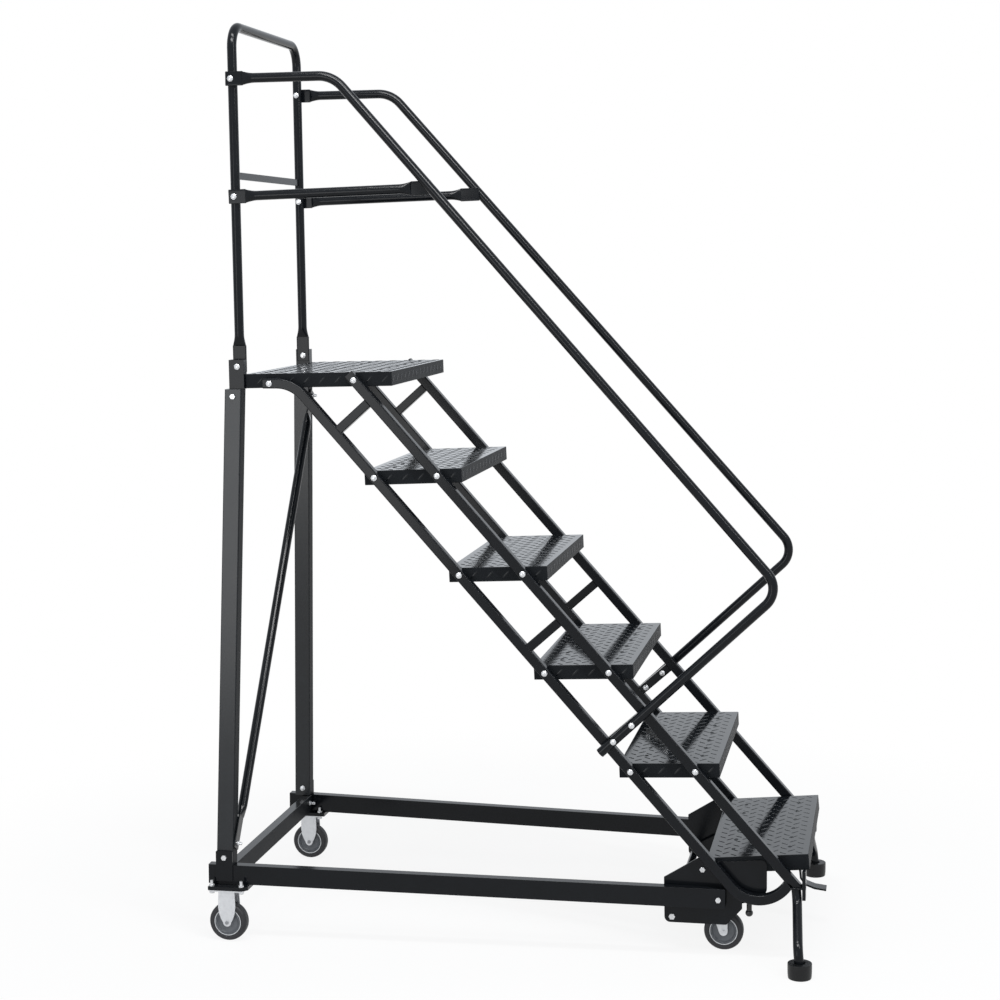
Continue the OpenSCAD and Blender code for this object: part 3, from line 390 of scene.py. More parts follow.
# A turned shape: (radius, along) pairs about an axis through centre, in mm; matOf gives each stretch its material
def lathe(bm, profile, centre, axis, segments=56, matOf=None):
    axis = Vector(axis).normalized()
    side = (axisX if abs(axis.x) < 0.9 else axisY).cross(axis).normalized()
    other = axis.cross(side)
    rows = []
    for r, h in profile:
        base = Vector(centre) + axis * h
        if r < 0.01:
            rows.append([bm.verts.new(base * mm)])
        else:
            rows.append([bm.verts.new((base + (side * math.cos(t) + other * math.sin(t)) * r) * mm)
                         for t in turnSteps(segments)])
    for k, (a, b) in enumerate(zip(rows, rows[1:])):
        index = matOf[k] if matOf else 0
        for i in range(segments):
            j = (i + 1) % segments
            if len(a) == 1:
                points = (a[0], b[j], b[i])
            else:
                points = (a[i], a[j], b[0]) if len(b) == 1 else (a[i], a[j], b[j], b[i])
            bm.faces.new(points).material_index = index


# A copy of a CAD node with its doubles merged and its edges eased; its sides along the ladder can take the duller coat,
# a painted shade
def refineNode(node, mat, width, shadedSides=False):
    src = frame["nodes"][node]
    bm = bmesh.new()
    bm.from_mesh(src.data)
    bmesh.ops.remove_doubles(bm, verts=bm.verts, dist=0.005 * mm)
    bmesh.ops.dissolve_limit(bm, angle_limit=rad(0.6), verts=bm.verts, edges=bm.edges)
    mats = [mat, paintedShadeCoat] if shadedSides else [mat]
    piece = finishPiece(node + "Skin", bm, mats, src["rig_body"], [node], 30, even=not width)
    if shadedSides:
        paintShadeOnSides(piece)
    if width:
        bevelled(piece, width)


# The ladder's shared lines, in mm

stair = {"deckX": -303.5, "deckH": 1521.0, "deckL": 399.0, "deckPitch": 1.0, "rise": 254.0, "run": 224.0,
         "noseX": -344.5, "noseZ": 1530.0, "stepPitch": 2.2, "stepD": 262.0, "stepW": 612.0, "flange": 38.0,
         "sheet": 3.0, "slope": 48.59, "gap": 131.0, "tube": 26.0, "boltBack": 60.0, "boltDrop": 19.0,
         "underDeck": 24.0}
slopeTan = math.tan(rad(stair["slope"]))
slopeSin, slopeCos = math.sin(rad(stair["slope"])), math.cos(rad(stair["slope"]))
halfW = stair["stepW"] / 2
tubeMid = halfW + stair["tube"] / 2
tubeOut = halfW + stair["tube"]


def nose(k):
    return Vector((stair["noseX"] + stair["run"] * k, stair["noseZ"] - stair["rise"] * k))


def frontX(z):
    return stair["noseX"] - stair["boltBack"] + (stair["noseZ"] - stair["boltDrop"] - z) / slopeTan


def rearX(z):
    return frontX(z) - stair["gap"] / slopeSin


def frontBolt(k):
    return nose(k) - Vector((stair["boltBack"], stair["boltDrop"]))


boltSlope = math.tan(rad(stair["stepPitch"]))
boltReach = stair["gap"] / (slopeSin + slopeCos * boltSlope)


def rearBolt(k):
    return frontBolt(k) - Vector((boltReach, boltReach * boltSlope))


# A point s along the front stringer's middle line from its first bolt, and q behind it
def onSide(s, q):
    return frontBolt(1) + Vector((slopeCos, -slopeSin)) * s - Vector((slopeSin, slopeCos)) * q


sides = (("Left", "left", -1), ("Right", "right", 1))

# Deck and treads: folded pans of pattern plate

pans = {"corner": 3.0, "barLength": 28.0, "barWidth": 6.6, "barHeight": 0.95, "barSunk": 0.3, "lean": 45.0,
        "pitch": 21.3, "edge": 14.0, "foldRow": 0.9, "holes": 6, "holePitch": 88.0, "holeRows": (-52.0, -200.0),
        "holeR": 3.8, "holeSides": 14}


def panMatrix(x, z, pitch):
    return Matrix.Translation((x * mm, 0, z * mm)) @ Matrix.Rotation(rad(-pitch), 4, "Y")


def panShell(bm, depth, width, height, sheet, place):
    hw = width / 2
    outer = [(-depth, -hw), (0, -hw), (0, hw), (-depth, hw)]
    inner = [(-depth + sheet, -hw + sheet), (-sheet, -hw + sheet), (-sheet, hw - sheet), (-depth + sheet, hw - sheet)]
    rows = []
    for ring, z in ((outer, 0), (outer, -height), (inner, -height), (inner, -sheet)):
        rows.append([bm.verts.new(place @ (Vector((x, y, z)) * mm)) for x, y in ring])
    joinRings(bm, rows)
    bm.faces.new(rows[0])
    bm.faces.new(rows[3])
    top = max(bm.faces, key=lambda f: f.calc_center_median().z)
    # Every face but the top takes the second, duller coat: painted shade on the folds
    for face in bm.faces:
        face.material_index = 0 if face == top else 1


# One raised bar of the pattern: a low lens, pointed at its ends and sunk a little into the sheet
def barSource():
    bm = bmesh.new()
    long, wide, high, low = pans["barLength"] / 2, pans["barWidth"] / 2, pans["barHeight"], -pans["barSunk"]
    rows = []
    for t in (-1.0, -0.75, -0.35, 0.35, 0.75, 1.0):
        if abs(t) == 1:
            rows.append([bm.verts.new(Vector((long * t, 0, low)) * mm)])
            continue
        w, h = wide * math.sqrt(1 - t * t), high * (1 - abs(t) ** 3 * 0.5)
        rows.append([bm.verts.new(Vector((long * t, y * w, z)) * mm)
                     for y, z in ((-1, low), (-0.5, h * 0.75), (0, h), (0.5, h * 0.75), (1, low))])
    for a, b in zip(rows, rows[1:]):
        if len(a) == 1 or len(b) == 1:
            tip, row = (a[0], b) if len(a) == 1 else (b[0], a)
            for p, q in zip(row, row[1:]):
                bm.faces.new((tip, p, q))
        else:
            for i in range(len(a) - 1):
                bm.faces.new((a[i], a[i + 1], b[i + 1], b[i]))
    bmesh.ops.recalc_face_normals(bm, faces=bm.faces)
    if sum(f.normal.z * f.calc_area() for f in bm.faces) < 0:
        bmesh.ops.reverse_faces(bm, faces=bm.faces)
    return smoothObject("patternBar", bm)


# A new tree with its named sizes at their usual values, and points to start from where it takes them
def startTree(name, usual, points=False):
    tree = bpy.data.node_groups.new(name, "GeometryNodeTree")
    if points:
        tree.interface.new_socket("Points", in_out="INPUT", socket_type="NodeSocketGeometry")
    sizes = {}
    for label, value in usual.items():
        socket = tree.interface.new_socket(label, in_out="INPUT", socket_type="NodeSocketFloat")
        socket.default_value = value
        sizes[label] = socket.identifier
    tree.interface.new_socket("Geometry", in_out="OUTPUT", socket_type="NodeSocketGeometry")
    return tree, sizes, addNode(tree, "NodeGroupInput"), addNode(tree, "NodeGroupOutput")


# Tree: bars on every other point of a grid, so that rows lie half a step apart and lean opposite ways
def patternTree(source, mat):
    tree, sizes, given, result = startTree("raisedBars", {"Length": stair["stepD"] * mm, "Width": stair["stepW"] * mm,
                                                          "Pitch": pans["pitch"] * mm, "Turn": rad(pans["lean"])})
    spans, counts = [], []
    for name in ("Length", "Width"):
        ratio = addNode(tree, "ShaderNodeMath", operation="DIVIDE",
                        links={0: given.outputs[name], 1: given.outputs["Pitch"]})
        whole = addNode(tree, "ShaderNodeMath", operation="FLOOR", links={0: ratio.outputs[0]})
        span = addNode(tree, "ShaderNodeMath", operation="MULTIPLY",
                       links={0: whole.outputs[0], 1: given.outputs["Pitch"]})
        count = addNode(tree, "ShaderNodeMath", {1: 1.0}, {0: whole.outputs[0]}, operation="ADD")
        spans.append(span.outputs[0])
        counts.append(count.outputs[0])
    grid = addNode(tree, "GeometryNodeMeshGrid", links={"Size X": spans[0], "Size Y": spans[1],
                                                        "Vertices X": counts[0], "Vertices Y": counts[1]})
    index = addNode(tree, "GeometryNodeInputIndex")
    column = addNode(tree, "ShaderNodeMath", operation="DIVIDE", links={0: index.outputs[0], 1: counts[1]})
    column = addNode(tree, "ShaderNodeMath", operation="FLOOR", links={0: column.outputs[0]})
    row = addNode(tree, "ShaderNodeMath", operation="MODULO", links={0: index.outputs[0], 1: counts[1]})
    both = addNode(tree, "ShaderNodeMath", operation="ADD", links={0: column.outputs[0], 1: row.outputs[0]})
    parity = addNode(tree, "ShaderNodeMath", {1: 2.0}, {0: both.outputs[0]}, operation="MODULO")
    chosen = addNode(tree, "ShaderNodeMath", {1: 0.5}, {0: parity.outputs[0]}, operation="LESS_THAN")
    rowParity = addNode(tree, "ShaderNodeMath", {1: 2.0}, {0: row.outputs[0]}, operation="MODULO")
    sign = addNode(tree, "ShaderNodeMath", {1: 2.0, 2: -1.0}, {0: rowParity.outputs[0]}, operation="MULTIPLY_ADD")
    angle = addNode(tree, "ShaderNodeMath", operation="MULTIPLY",
                    links={0: sign.outputs[0], 1: given.outputs["Turn"]})
    spin = addNode(tree, "ShaderNodeCombineXYZ", links={"Z": angle.outputs[0]})
    info = addNode(tree, "GeometryNodeObjectInfo", {"Object": source})
    put = addNode(tree, "GeometryNodeInstanceOnPoints",
                  links={"Points": grid.outputs["Mesh"], "Instance": info.outputs["Geometry"],
                         "Rotation": spin.outputs[0], "Selection": chosen.outputs[0]})
    paintInstances(tree, put, mat, result)
    return tree, sizes


# The end of each tree: instances made real and given their finish
def paintInstances(tree, put, mat, result):
    real = addNode(tree, "GeometryNodeRealizeInstances", links={"Geometry": put.outputs[0]})
    paint = addNode(tree, "GeometryNodeSetMaterial", {"Material": mat}, {"Geometry": real.outputs[0]})
    tree.links.new(paint.outputs[0], result.inputs[0])


# Runs a tree once on a mesh, with its sizes set, and gives back a plain mesh
def grownMesh(tree, sizes, values, start=None):
    holder = placed("grown", start or bpy.data.meshes.new("grown"))
    mod = holder.modifiers.new("grow", "NODES")
    mod.node_group = tree
    for name, value in values.items():
        mod[sizes[name]] = value
    bpy.context.view_layer.update()
    mesh = bpy.data.meshes.new_from_object(holder.evaluated_get(bpy.context.evaluated_depsgraph_get()))
    mesh.materials.clear()  # puts every face back in the first slot
    holder.modifiers.remove(mod)
    bpy.data.objects.remove(holder)
    return mesh


barSourceObject = barSource()
barTree, barSizes = patternTree(barSourceObject, plate)
barMeshes = {}


def addBars(bm, length, width, place):
    key = (round(length), round(width))
    if key not in barMeshes:
        barMeshes[key] = grownMesh(barTree, barSizes, {"Length": length * mm, "Width": width * mm})
    mesh = barMeshes[key].copy()
    mesh.transform(place)
    bm.from_mesh(mesh)
    bpy.data.meshes.remove(mesh)


# A small countersunk drain hole: a dished ring whose dark bottom is a painted shade, a closed disc where the hole would
# open
def addDrain(bm, x, y, place):
    r = pans["holeR"]
    rows = []
    for radius, z in ((r + 3, 0.02), (r + 1.8, 0.8), (r + 0.7, 0.9), (r, 0.5), (r - 0.3, -1.5)):
        rows.append([bm.verts.new(place @ (Vector((x + radius * math.cos(t), y + radius * math.sin(t), z)) * mm))
                     for t in turnSteps(pans["holeSides"])])
    joinRings(bm, rows)
    # The dark disc: painted shade in the hole
    bm.faces.new(rows[-1]).material_index = 1


def makePan(node, depth, width, height, place, body, patternedFolds=True):
    bm = bmesh.new()
    panShell(bm, depth, width, height, stair["sheet"], place)
    shell = finishPiece(node + "Plate", bm, [plate, paintedShadeCoat], body, [node], 50, even=False)
    bevelled(shell, pans["corner"], 3)
    barDepth, barWidth = depth - 2 * pans["edge"], width - 2 * pans["edge"]
    foldHeight = pans["pitch"] * pans["foldRow"]  # one row of bars on each fold
    bm = bmesh.new()
    addBars(bm, barDepth, barWidth, place @ Matrix.Translation((-depth / 2 * mm, 0, 0)))
    if patternedFolds:
        down = -height / 2 * mm
        addBars(bm, foldHeight, barWidth,
                place @ Matrix.Translation((0, 0, down)) @ Matrix.Rotation(rad(90), 4, "Y"))
        for side in (-1, 1):
            turn = Matrix.Rotation(rad(-90 * side), 4, "X") @ Matrix.Rotation(rad(90), 4, "Z")
            spot = Matrix.Translation((-depth / 2 * mm, side * width / 2 * mm, down))
            addBars(bm, foldHeight, barDepth, place @ spot @ turn)
    bars = smoothObject(node + "Bars", bm, [plate])
    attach(bars, body)
    bm = bmesh.new()
    for x in pans["holeRows"]:
        for i in range(pans["holes"]):
            addDrain(bm, x, (i - (pans["holes"] - 1) / 2) * pans["holePitch"], place)
    finishPiece(node + "Drains", bm, [plate, footRubberAndDrainShade], body, (), 60)


deckNose = stair["deckH"] + stair["deckL"] * math.sin(rad(stair["deckPitch"]))
makePan("deck", stair["deckL"], stair["stepW"], stair["flange"],
        panMatrix(stair["deckX"], deckNose, stair["deckPitch"]), "frame")
for k in range(1, 5):
    makePan("tread_" + str(6 - k), stair["stepD"], stair["stepW"], stair["flange"],
            panMatrix(nose(k).x, nose(k).y, stair["stepPitch"]), "frame")
lockStep = {"x": 780.5, "z": 281.0, "pitch": 4.9, "half": 296.5, "flange": 42.0}
makePan("lock_tread", stair["stepD"], 2 * lockStep["half"], lockStep["flange"],
        panMatrix(lockStep["x"], lockStep["z"], lockStep["pitch"]), "lock_step", patternedFolds=False)
bpy.data.objects.remove(barSourceObject)
print("deck and treads made")

# Stringers and links of square tube

stringers = {"corner": 3.2, "topBend": 95.0, "footBend": 91.0, "footBendZ": 161.0, "footTop": 201.0, "endAngle": 60.0,
             "endOver": 4.0, "overDeck": 1.0, "cutSpare": 8.0, "cutZone": 25.0, "rearReach": 56.0}


def makeStringers():
    tube, bend = stair["tube"] / 2, stringers["footBend"]
    endAngle = rad(stringers["endAngle"])
    bendZ = stringers["footBendZ"] + bend
    bendC = Vector((rearX(bendZ) + bend / slopeSin, bendZ))
    turn = rad(stair["slope"]) + endAngle
    mid = endAngle - turn / 2
    corner = bendC + Vector((math.sin(mid), -math.cos(mid))) * bend / math.cos(turn / 2)
    end = corner + Vector((math.cos(endAngle), math.sin(endAngle))) * (bend * math.tan(turn / 2) + stringers["endOver"])
    topZ, topEnd = stair["deckH"] - stair["underDeck"], stair["deckH"] + stringers["overDeck"]
    cutZ = stringers["footTop"]
    footZ = cutZ + stringers["cutSpare"]
    rearEnd = stair["deckX"] - stair["deckL"] + stringers["rearReach"]
    for name, low, side in sides:
        plane = planeAt((0, side * tubeMid, 0), axisX, axisZ)
        bm = bmesh.new()
        squareTube(bm, plane, bentPath([(frontX(topEnd), topEnd), (frontX(footZ), footZ)]), tube, tube,
                   stringers["corner"])
        # The foot is cut level: each low point slides along the tube to the bracket's top
        for v in bm.verts:
            if v.co.z < (cutZ + stringers["cutZone"]) * mm:
                v.co.x += (v.co.z - cutZ * mm) / slopeSin * slopeCos
                v.co.z = cutZ * mm
        finishTube("frontStringer" + name, bm, "front_stringer_" + low)
        bm = bmesh.new()
        route = [(rearEnd, topZ), (rearX(topZ), topZ), corner, end]
        squareTube(bm, plane, bentPath(route, [stringers["topBend"], bend]), tube, tube, stringers["corner"])
        finishTube("rearStringer" + name, bm, "rear_stringer_" + low)


linkBars = {"at": (-263.0, 494.0, 816.0), "width": 24.0, "corner": 2.5, "inset": 13.0, "slim": 0.2}


def makeLinks():
    bm = bmesh.new()
    for side in (-1, 1):
        plane = planeAt((0, side * tubeMid, 0), axisX, axisZ)
        for s in linkBars["at"]:
            ends = [onSide(s, linkBars["inset"]), onSide(s, stair["gap"] - linkBars["inset"])]
            squareTube(bm, plane, bentPath(ends), linkBars["width"] / 2, stair["tube"] / 2 - linkBars["slim"],
                       linkBars["corner"])
    finishTube("linkBars", bm, "link_bars")


makeStringers()
makeLinks()
print("stringers made")

# Guard hoop, handrails and mid-rails of round tube

rails = {"dia": 25.0, "flatW": 37.0, "flatT": 5.0, "taper": 31.0, "hoopX": -721.0, "hoopY": 290.0, "hoopTop": 2440.0,
         "hoopR": 58.0, "hoopLow": 1525.0, "hoopFlat": 70.0, "railZ": 2290.0, "railY": 308.15, "lean": 1.7,
         "railRearX": -734.5, "topR": 85.0, "lowR": 58.0, "lowAngle": 43.0, "rise": 645.0, "midZ": 1986.0,
         "midRise": 14.0, "midAside": 0.85, "beyondBolt": 14.0, "flatL": 46.0, "midFlat": 53.0,
         "lowBolt": 37.0, "lowPitch": 65.0, "lowBeyond": 49.0}
crossBar = {"above": 55.0, "inset": 8.0, "halfHeight": 9.5, "halfThick": 3.0, "corner": 1.2}


def makeHoop():
    bm = bmesh.new()
    plane = planeAt((rails["hoopX"], 0, 0), axisY, axisZ)
    y, top, low = rails["hoopY"], rails["hoopTop"] - rails["dia"] / 2, rails["hoopLow"]
    route = bentPath([(-y, low), (-y, top), (y, top), (y, low)], [rails["hoopR"], rails["hoopR"]])
    roundTube(bm, plane, route, rails["hoopFlat"], rails["hoopFlat"], wideAcross=True)
    finishTube("guardHoop", bm, "guard_hoop")
    bm = bmesh.new()
    plane = planeAt((rails["hoopX"], 0, rails["midZ"] + crossBar["above"]), axisY, axisZ)
    end = y - crossBar["inset"]
    squareTube(bm, plane, bentPath([(-end, 0), (end, 0)]), crossBar["halfHeight"], crossBar["halfThick"],
               crossBar["corner"])
    finishTube("hoopCrossBar", bm, "hoop_cross_bar")


def leanY(z):
    return rails["railY"] + (rails["railZ"] - z) * math.tan(rad(rails["lean"]))


railCorner = Vector((stair["noseX"] - (rails["railZ"] - stair["noseZ"] - rails["rise"]) / slopeTan, rails["railZ"]))
lowDir = Vector((math.cos(rad(rails["lowAngle"])), math.sin(rad(rails["lowAngle"]))))
lowBoltA = onSide(linkBars["at"][2], rails["lowBolt"])
lowBoltB = lowBoltA - lowDir * rails["lowPitch"]
lowEnd = lowBoltB - lowDir * rails["lowBeyond"]
lowDrop = railCorner.y - lowBoltA.y - (lowBoltA.x - railCorner.x) * slopeTan
lowCorner = lowBoltA + lowDir * (lowDrop / (lowDir.y + lowDir.x * slopeTan))
midFront = Vector((railCorner.x + (rails["railZ"] - rails["midZ"] - rails["midRise"]) / slopeTan,
                   rails["midZ"] + rails["midRise"]))


# A straight tube from one bolt to the other, in the plane of its flats
def boltedTube(bm, a, b, up, flatStart, flatEnd, pastEnd):
    along = (b - a).normalized()
    length = (b - a).length + rails["beyondBolt"] + pastEnd
    roundTube(bm, planeAt(a - along * rails["beyondBolt"], along, up), bentPath([(0, 0), (length, 0)]),
              flatStart, flatEnd)


def makeHandrails():
    s, c = math.sin(rad(rails["lean"])), math.cos(rad(rails["lean"]))
    drop = Vector((0, rails["railZ"]))
    route = [Vector((rails["railRearX"], 0)), railCorner - drop, lowCorner - drop, lowEnd - drop]
    hoopFace = rails["hoopY"] + rails["dia"] / 2 + rails["flatT"] / 2
    railFace = leanY(midFront.y) - rails["dia"] / 2 - rails["flatT"] / 2 - rails["midAside"]
    for name, low, side in sides:
        bm = bmesh.new()
        plane = planeAt((0, side * rails["railY"], rails["railZ"]), axisX, (0, -side * s, c))
        roundTube(bm, plane, bentPath(route, [rails["topR"], rails["lowR"]]), rails["flatL"], openEnd=True)
        finishTube("handrail" + name, bm, "handrail_" + low)
        bm = bmesh.new()
        a = Vector((rails["hoopX"], side * hoopFace, rails["midZ"]))
        b = Vector((midFront.x, side * railFace, midFront.y))
        along = (b - a).normalized()
        boltedTube(bm, a, b, axisZ - along * along.z, rails["flatL"], rails["midFlat"], 0)
        finishTube("midRail" + name, bm, "mid_rail_" + low)


makeHoop()
makeHandrails()
print("guard and handrails made")

# Bolts: domed heads on thin washers, with their shanks

bolts = {"domeR": 6.6, "head": 4.4, "washerR": 7.8, "sides": 24, "shankSides": 16, "shankR": 4.0, "spacerR": 8.0,
         "deckFront": 60.0, "deckFrontDrop": 21.0, "deckRear": 73.0, "inside": 3.0, "past": 8.0, "hoopFootZ": 1541.0,
         "hoopFoot": (317.5, 287.5), "railEnd": (310.8, 277.5), "midEnd": (307.7, 277.5), "sunk": 1.0, "pastHoop": 7.0,
         "railOut": 12.4, "railIn": 12.2, "railShank": 13.0, "linkStand": 0.2, "cornerBolt": (-745.6, 333.0, 183.0),
         "cornerShank": (17.0, 3.8), "tabNut": (-770.3, 342.9, 225.4)}


def boltSource():
    bm = bmesh.new()
    r, h, washer = bolts["domeR"], bolts["head"], bolts["washerR"]
    profile = [(0, 0), (washer, 0), (washer, 0.7), (washer - 0.5, 1.0), (r - 0.5, 1.0), (r, 1.6), (r, 2.4),
               (r * 0.9, 3.3), (r * 0.66, 4.0), (r * 0.34, h), (0, h)]
    lathe(bm, profile, (0, 0, 0), axisZ, bolts["sides"])
    bmesh.ops.recalc_face_normals(bm, faces=bm.faces)
    return smoothObject("boltHead", bm, sharp=28)


# Tree: one bolt head on each given point, standing along that point's own direction
def boltTree(source, mat):
    tree, sizes, given, result = startTree("boltHeads", {"Size": 1.0}, points=True)
    way = addNode(tree, "GeometryNodeInputNamedAttribute", {"Name": "way"}, data_type="FLOAT_VECTOR")
    face = addNode(tree, "FunctionNodeAlignRotationToVector", links={"Vector": way.outputs["Attribute"]}, axis="Z")
    info = addNode(tree, "GeometryNodeObjectInfo", {"Object": source})
    put = addNode(tree, "GeometryNodeInstanceOnPoints",
                  links={"Points": given.outputs["Points"], "Instance": info.outputs["Geometry"],
                         "Rotation": face.outputs[0], "Scale": given.outputs["Size"]})
    paintInstances(tree, put, mat, result)
    return tree, sizes


boltSourceObject = boltSource()
boltGroup, boltSizes = boltTree(boltSourceObject, zincBolt)


# Heads at the spots (point, direction) and shanks (from, to, radius), as one piece
def addBolts(name, spots, shanks, nodes=()):
    mesh = bpy.data.meshes.new(name + "Points")
    mesh.from_pydata([Vector(p) * mm for p, _ in spots], [], [])
    way = mesh.attributes.new("way", "FLOAT_VECTOR", "POINT")
    way.data.foreach_set("vector", [c for _, w in spots for c in w])
    bm = bmesh.new()
    bm.from_mesh(grownMesh(boltGroup, boltSizes, {"Size": 1.0}, mesh))
    for a, b, r in shanks:
        a, b = Vector(a), Vector(b)
        long = (b - a).length
        lathe(bm, [(0, 0), (r - 0.4, 0), (r, 0.6), (r, long - 0.6), (r - 0.4, long), (0, long)], a, b - a,
              bolts["shankSides"])
    finishPiece(name, bm, [zincBolt], "frame", nodes, 30)


def makeStringerBolts():
    r = bolts["shankR"]
    deckZ = stair["deckH"] + (stair["deckL"] - bolts["deckFront"]) * math.sin(rad(stair["deckPitch"]))
    deckZ -= bolts["deckFrontDrop"]
    points = [Vector((frontX(deckZ), deckZ)),
              Vector((stair["deckX"] - stair["deckL"] + bolts["deckRear"], stair["deckH"] - stair["underDeck"]))]
    points += [f(k) for k in range(1, 5) for f in (frontBolt, rearBolt)]
    inner = halfW - bolts["inside"]
    spots, shanks = [], []
    for side in (-1, 1):
        for p in points:
            spots.append(((p.x, side * tubeOut, p.y), (0, side, 0)))
            spots.append(((p.x, side * inner, p.y), (0, -side, 0)))
            shanks.append(((p.x, side * tubeOut, p.y), (p.x, side * (inner - bolts["past"]), p.y), r))
    addBolts("stringerBolts", spots, shanks, ["stringer_bolts"])


def makeGuardBolts():
    r, x = bolts["shankR"], rails["hoopX"]
    ends = ((bolts["hoopFootZ"], "hoopFoot"), (rails["railZ"], "railEnd"), (rails["midZ"], "midEnd"))
    spots, shanks = [], []
    for side in (-1, 1):
        for z, place in ends:
            outer, inner = bolts[place]
            spots += [((x, side * outer, z), (0, side, 0)), ((x, side * inner, z), (0, -side, 0))]
            shanks.append(((x, side * (outer + bolts["sunk"]), z), (x, side * (inner - bolts["pastHoop"]), z), r))
        for p in (lowBoltA, lowBoltB):
            outer, inner = leanY(p.y) + bolts["railOut"], leanY(p.y) - bolts["railIn"]
            spots.append(((p.x, side * outer, p.y), (0, side, 0)))
            shanks.append(((p.x, side * (leanY(p.y) + bolts["railShank"]), p.y), (p.x, side * tubeMid, p.y), r))
            shanks.append(((p.x, side * inner, p.y), (p.x, side * tubeOut, p.y), bolts["spacerR"]))
            spots.append(((p.x, side * (halfW + bolts["linkStand"]), p.y), (0, -side, 0)))
    addBolts("guardBolts", spots, shanks, ["guard_bolts"])


def makeCornerNuts():
    x, y, z = bolts["cornerBolt"]
    nutX, nutY, nutZ = bolts["tabNut"]
    long, r = bolts["cornerShank"]
    spots, shanks = [], []
    for side in (-1, 1):
        spots.append(((x, side * y, z), (1, 0, 0)))
        shanks.append(((x, side * y, z), (x + long, side * y, z), r))
        spots.append(((nutX, side * nutY, nutZ), (0, -side, 0)))
    addBolts("cornerNuts", spots, shanks)


makeStringerBolts()
makeGuardBolts()
makeCornerNuts()
bpy.data.objects.remove(boltSourceObject)
print("bolts made")

# Casters: tyres and hubs

casters = {"r": 52.0, "width": 32.0, "rearX": -760.5, "rearY": 386.0, "frontX": 559.0, "frontY": 249.0,
           "frontZ": 52.6, "ring": (34.9, 37.1), "tyreSides": 72, "hubSides": 64}


def mirrored(half):
    return half + [(radius, -along) for radius, along in reversed(half)] + [half[0]]


def makeWheels():
    r, w = casters["r"], casters["width"] / 2
    tyre = mirrored([(37, w - 1.4), (37.8, w - 0.3), (44, w), (47.5, w - 0.8), (50.2, w - 3), (51.6, w - 6.5),
                     (r, w - 11)])
    hub = mirrored([(5.1, w + 0.9), (12, w + 0.9), (13.5, w), (14, w - 5), (17, w - 6.5), (26, w - 6.5),
                    (29, w - 4.5), (31, w - 1.2), (32.8, w - 1.2), (33.2, w - 3.4), (34.8, w - 3.4), (35.1, w - 0.2),
                    (36.8, w - 0.2), (37, w - 1.6)])
    low, high = casters["ring"]
    # Faces between these radii take the pale second finish: a painted highlight ring on the lip
    ring = [1 if low < (p[0] + q[0]) / 2 < high and p[1] * q[1] > 0 else 0 for p, q in zip(hub, hub[1:])]
    for where, x, y, z in (("rear", casters["rearX"], casters["rearY"], r),
                           ("front", casters["frontX"], casters["frontY"], casters["frontZ"])):
        for name, low, side in sides:
            centre, body = (x, side * y, z), where + "_wheel_" + low
            bm = bmesh.new()
            lathe(bm, tyre, centre, axisY, casters["tyreSides"])
            finishPiece(where + "Tyre" + name, bm, [tyreRubber], body, [where + "_tyre_" + low])
            bm = bmesh.new()
            lathe(bm, hub, centre, axisY, casters["hubSides"], ring)
            finishPiece(where + "Hub" + name, bm, [hubPlastic, rimHighlightPaint], body, [where + "_hub_" + low])


makeWheels()
print("wheels made")

# Feet

feet = {"topX": frontX(stringers["footTop"]), "topZ": 195.8, "topY": tubeMid + 4, "ahead": 16.0, "y": 439.0, "r": 31.0,
        "height": 40.0, "socket": 20.0, "bend": 42.0, "kneeZ": 165.0, "ankleUp": 31.0, "sides": 64}


def makeFeet():
    top, out, h, r = feet["topZ"], feet["y"], feet["height"], feet["r"]
    lean = math.atan(feet["ahead"] / (top - h / 2))
    profile = [(0, 0), (r - 3, 0), (r - 1.8, 0.6), (r - 1.2, 2.2), (r - 0.3, 12), (r, 24), (r, h - 1.6),
               (r - 0.5, h - 0.5), (r - 1.6, h), (15.5, h), (14.2, h - 0.8), (13.6, h - 4), (0, h - 4)]
    plane = planeAt((feet["topX"], 0, top), axisY, (-math.sin(lean), 0, math.cos(lean)))
    for name, low, side in sides:
        bm = bmesh.new()
        lathe(bm, profile, (feet["topX"] + feet["ahead"], side * out, 0), axisZ, feet["sides"])
        finishPiece("rubberFoot" + name, bm, [footRubberAndDrainShade], "frame", ["rubber_foot_" + low])
        bm = bmesh.new()
        route = [(side * feet["topY"], 0), (side * feet["topY"], feet["kneeZ"] - top),
                 (side * out, h + feet["ankleUp"] - top), (side * out, h - feet["socket"] - top)]
        roundTube(bm, plane, bentPath(route, [feet["bend"], feet["bend"]]))
        finishTube("footTube" + name, bm, "foot_tube_" + low)


makeFeet()
print("feet made")

# Rear legs of rectangular tube and the brace between them

legs = {"halfX": 23.0, "halfY": 19.5, "corner": 3.0, "topX": -729.0, "topY": 312.0, "topZ": 1482.0, "rake": 42.0,
        "splay": 51.0, "railTop": 205.0, "railDrop": 19.0 / 1386, "railEndX": -816.5, "braceTop": 1423.0,
        "braceFoot": 260.0, "topFlat": 78.0, "footFlat": 88.0, "braceGap": 0.05}
legFall = legs["topZ"] - legs["railTop"]
legLean, legSlant = math.atan(legs["rake"] / legFall), math.atan(legs["splay"] / legFall)
legFace = Vector((math.cos(legLean), 0, -math.sin(legLean)))
legUp = Vector((math.sin(legLean), 0, math.cos(legLean)))


def legY(z):
    return legs["topY"] + (legs["topZ"] - z) * math.tan(legSlant) / math.cos(legLean)


def onLegs(u, y, z):
    return Vector((legs["topX"], y, legs["topZ"])) + legFace * u + legUp * ((z - legs["topZ"]) / math.cos(legLean))


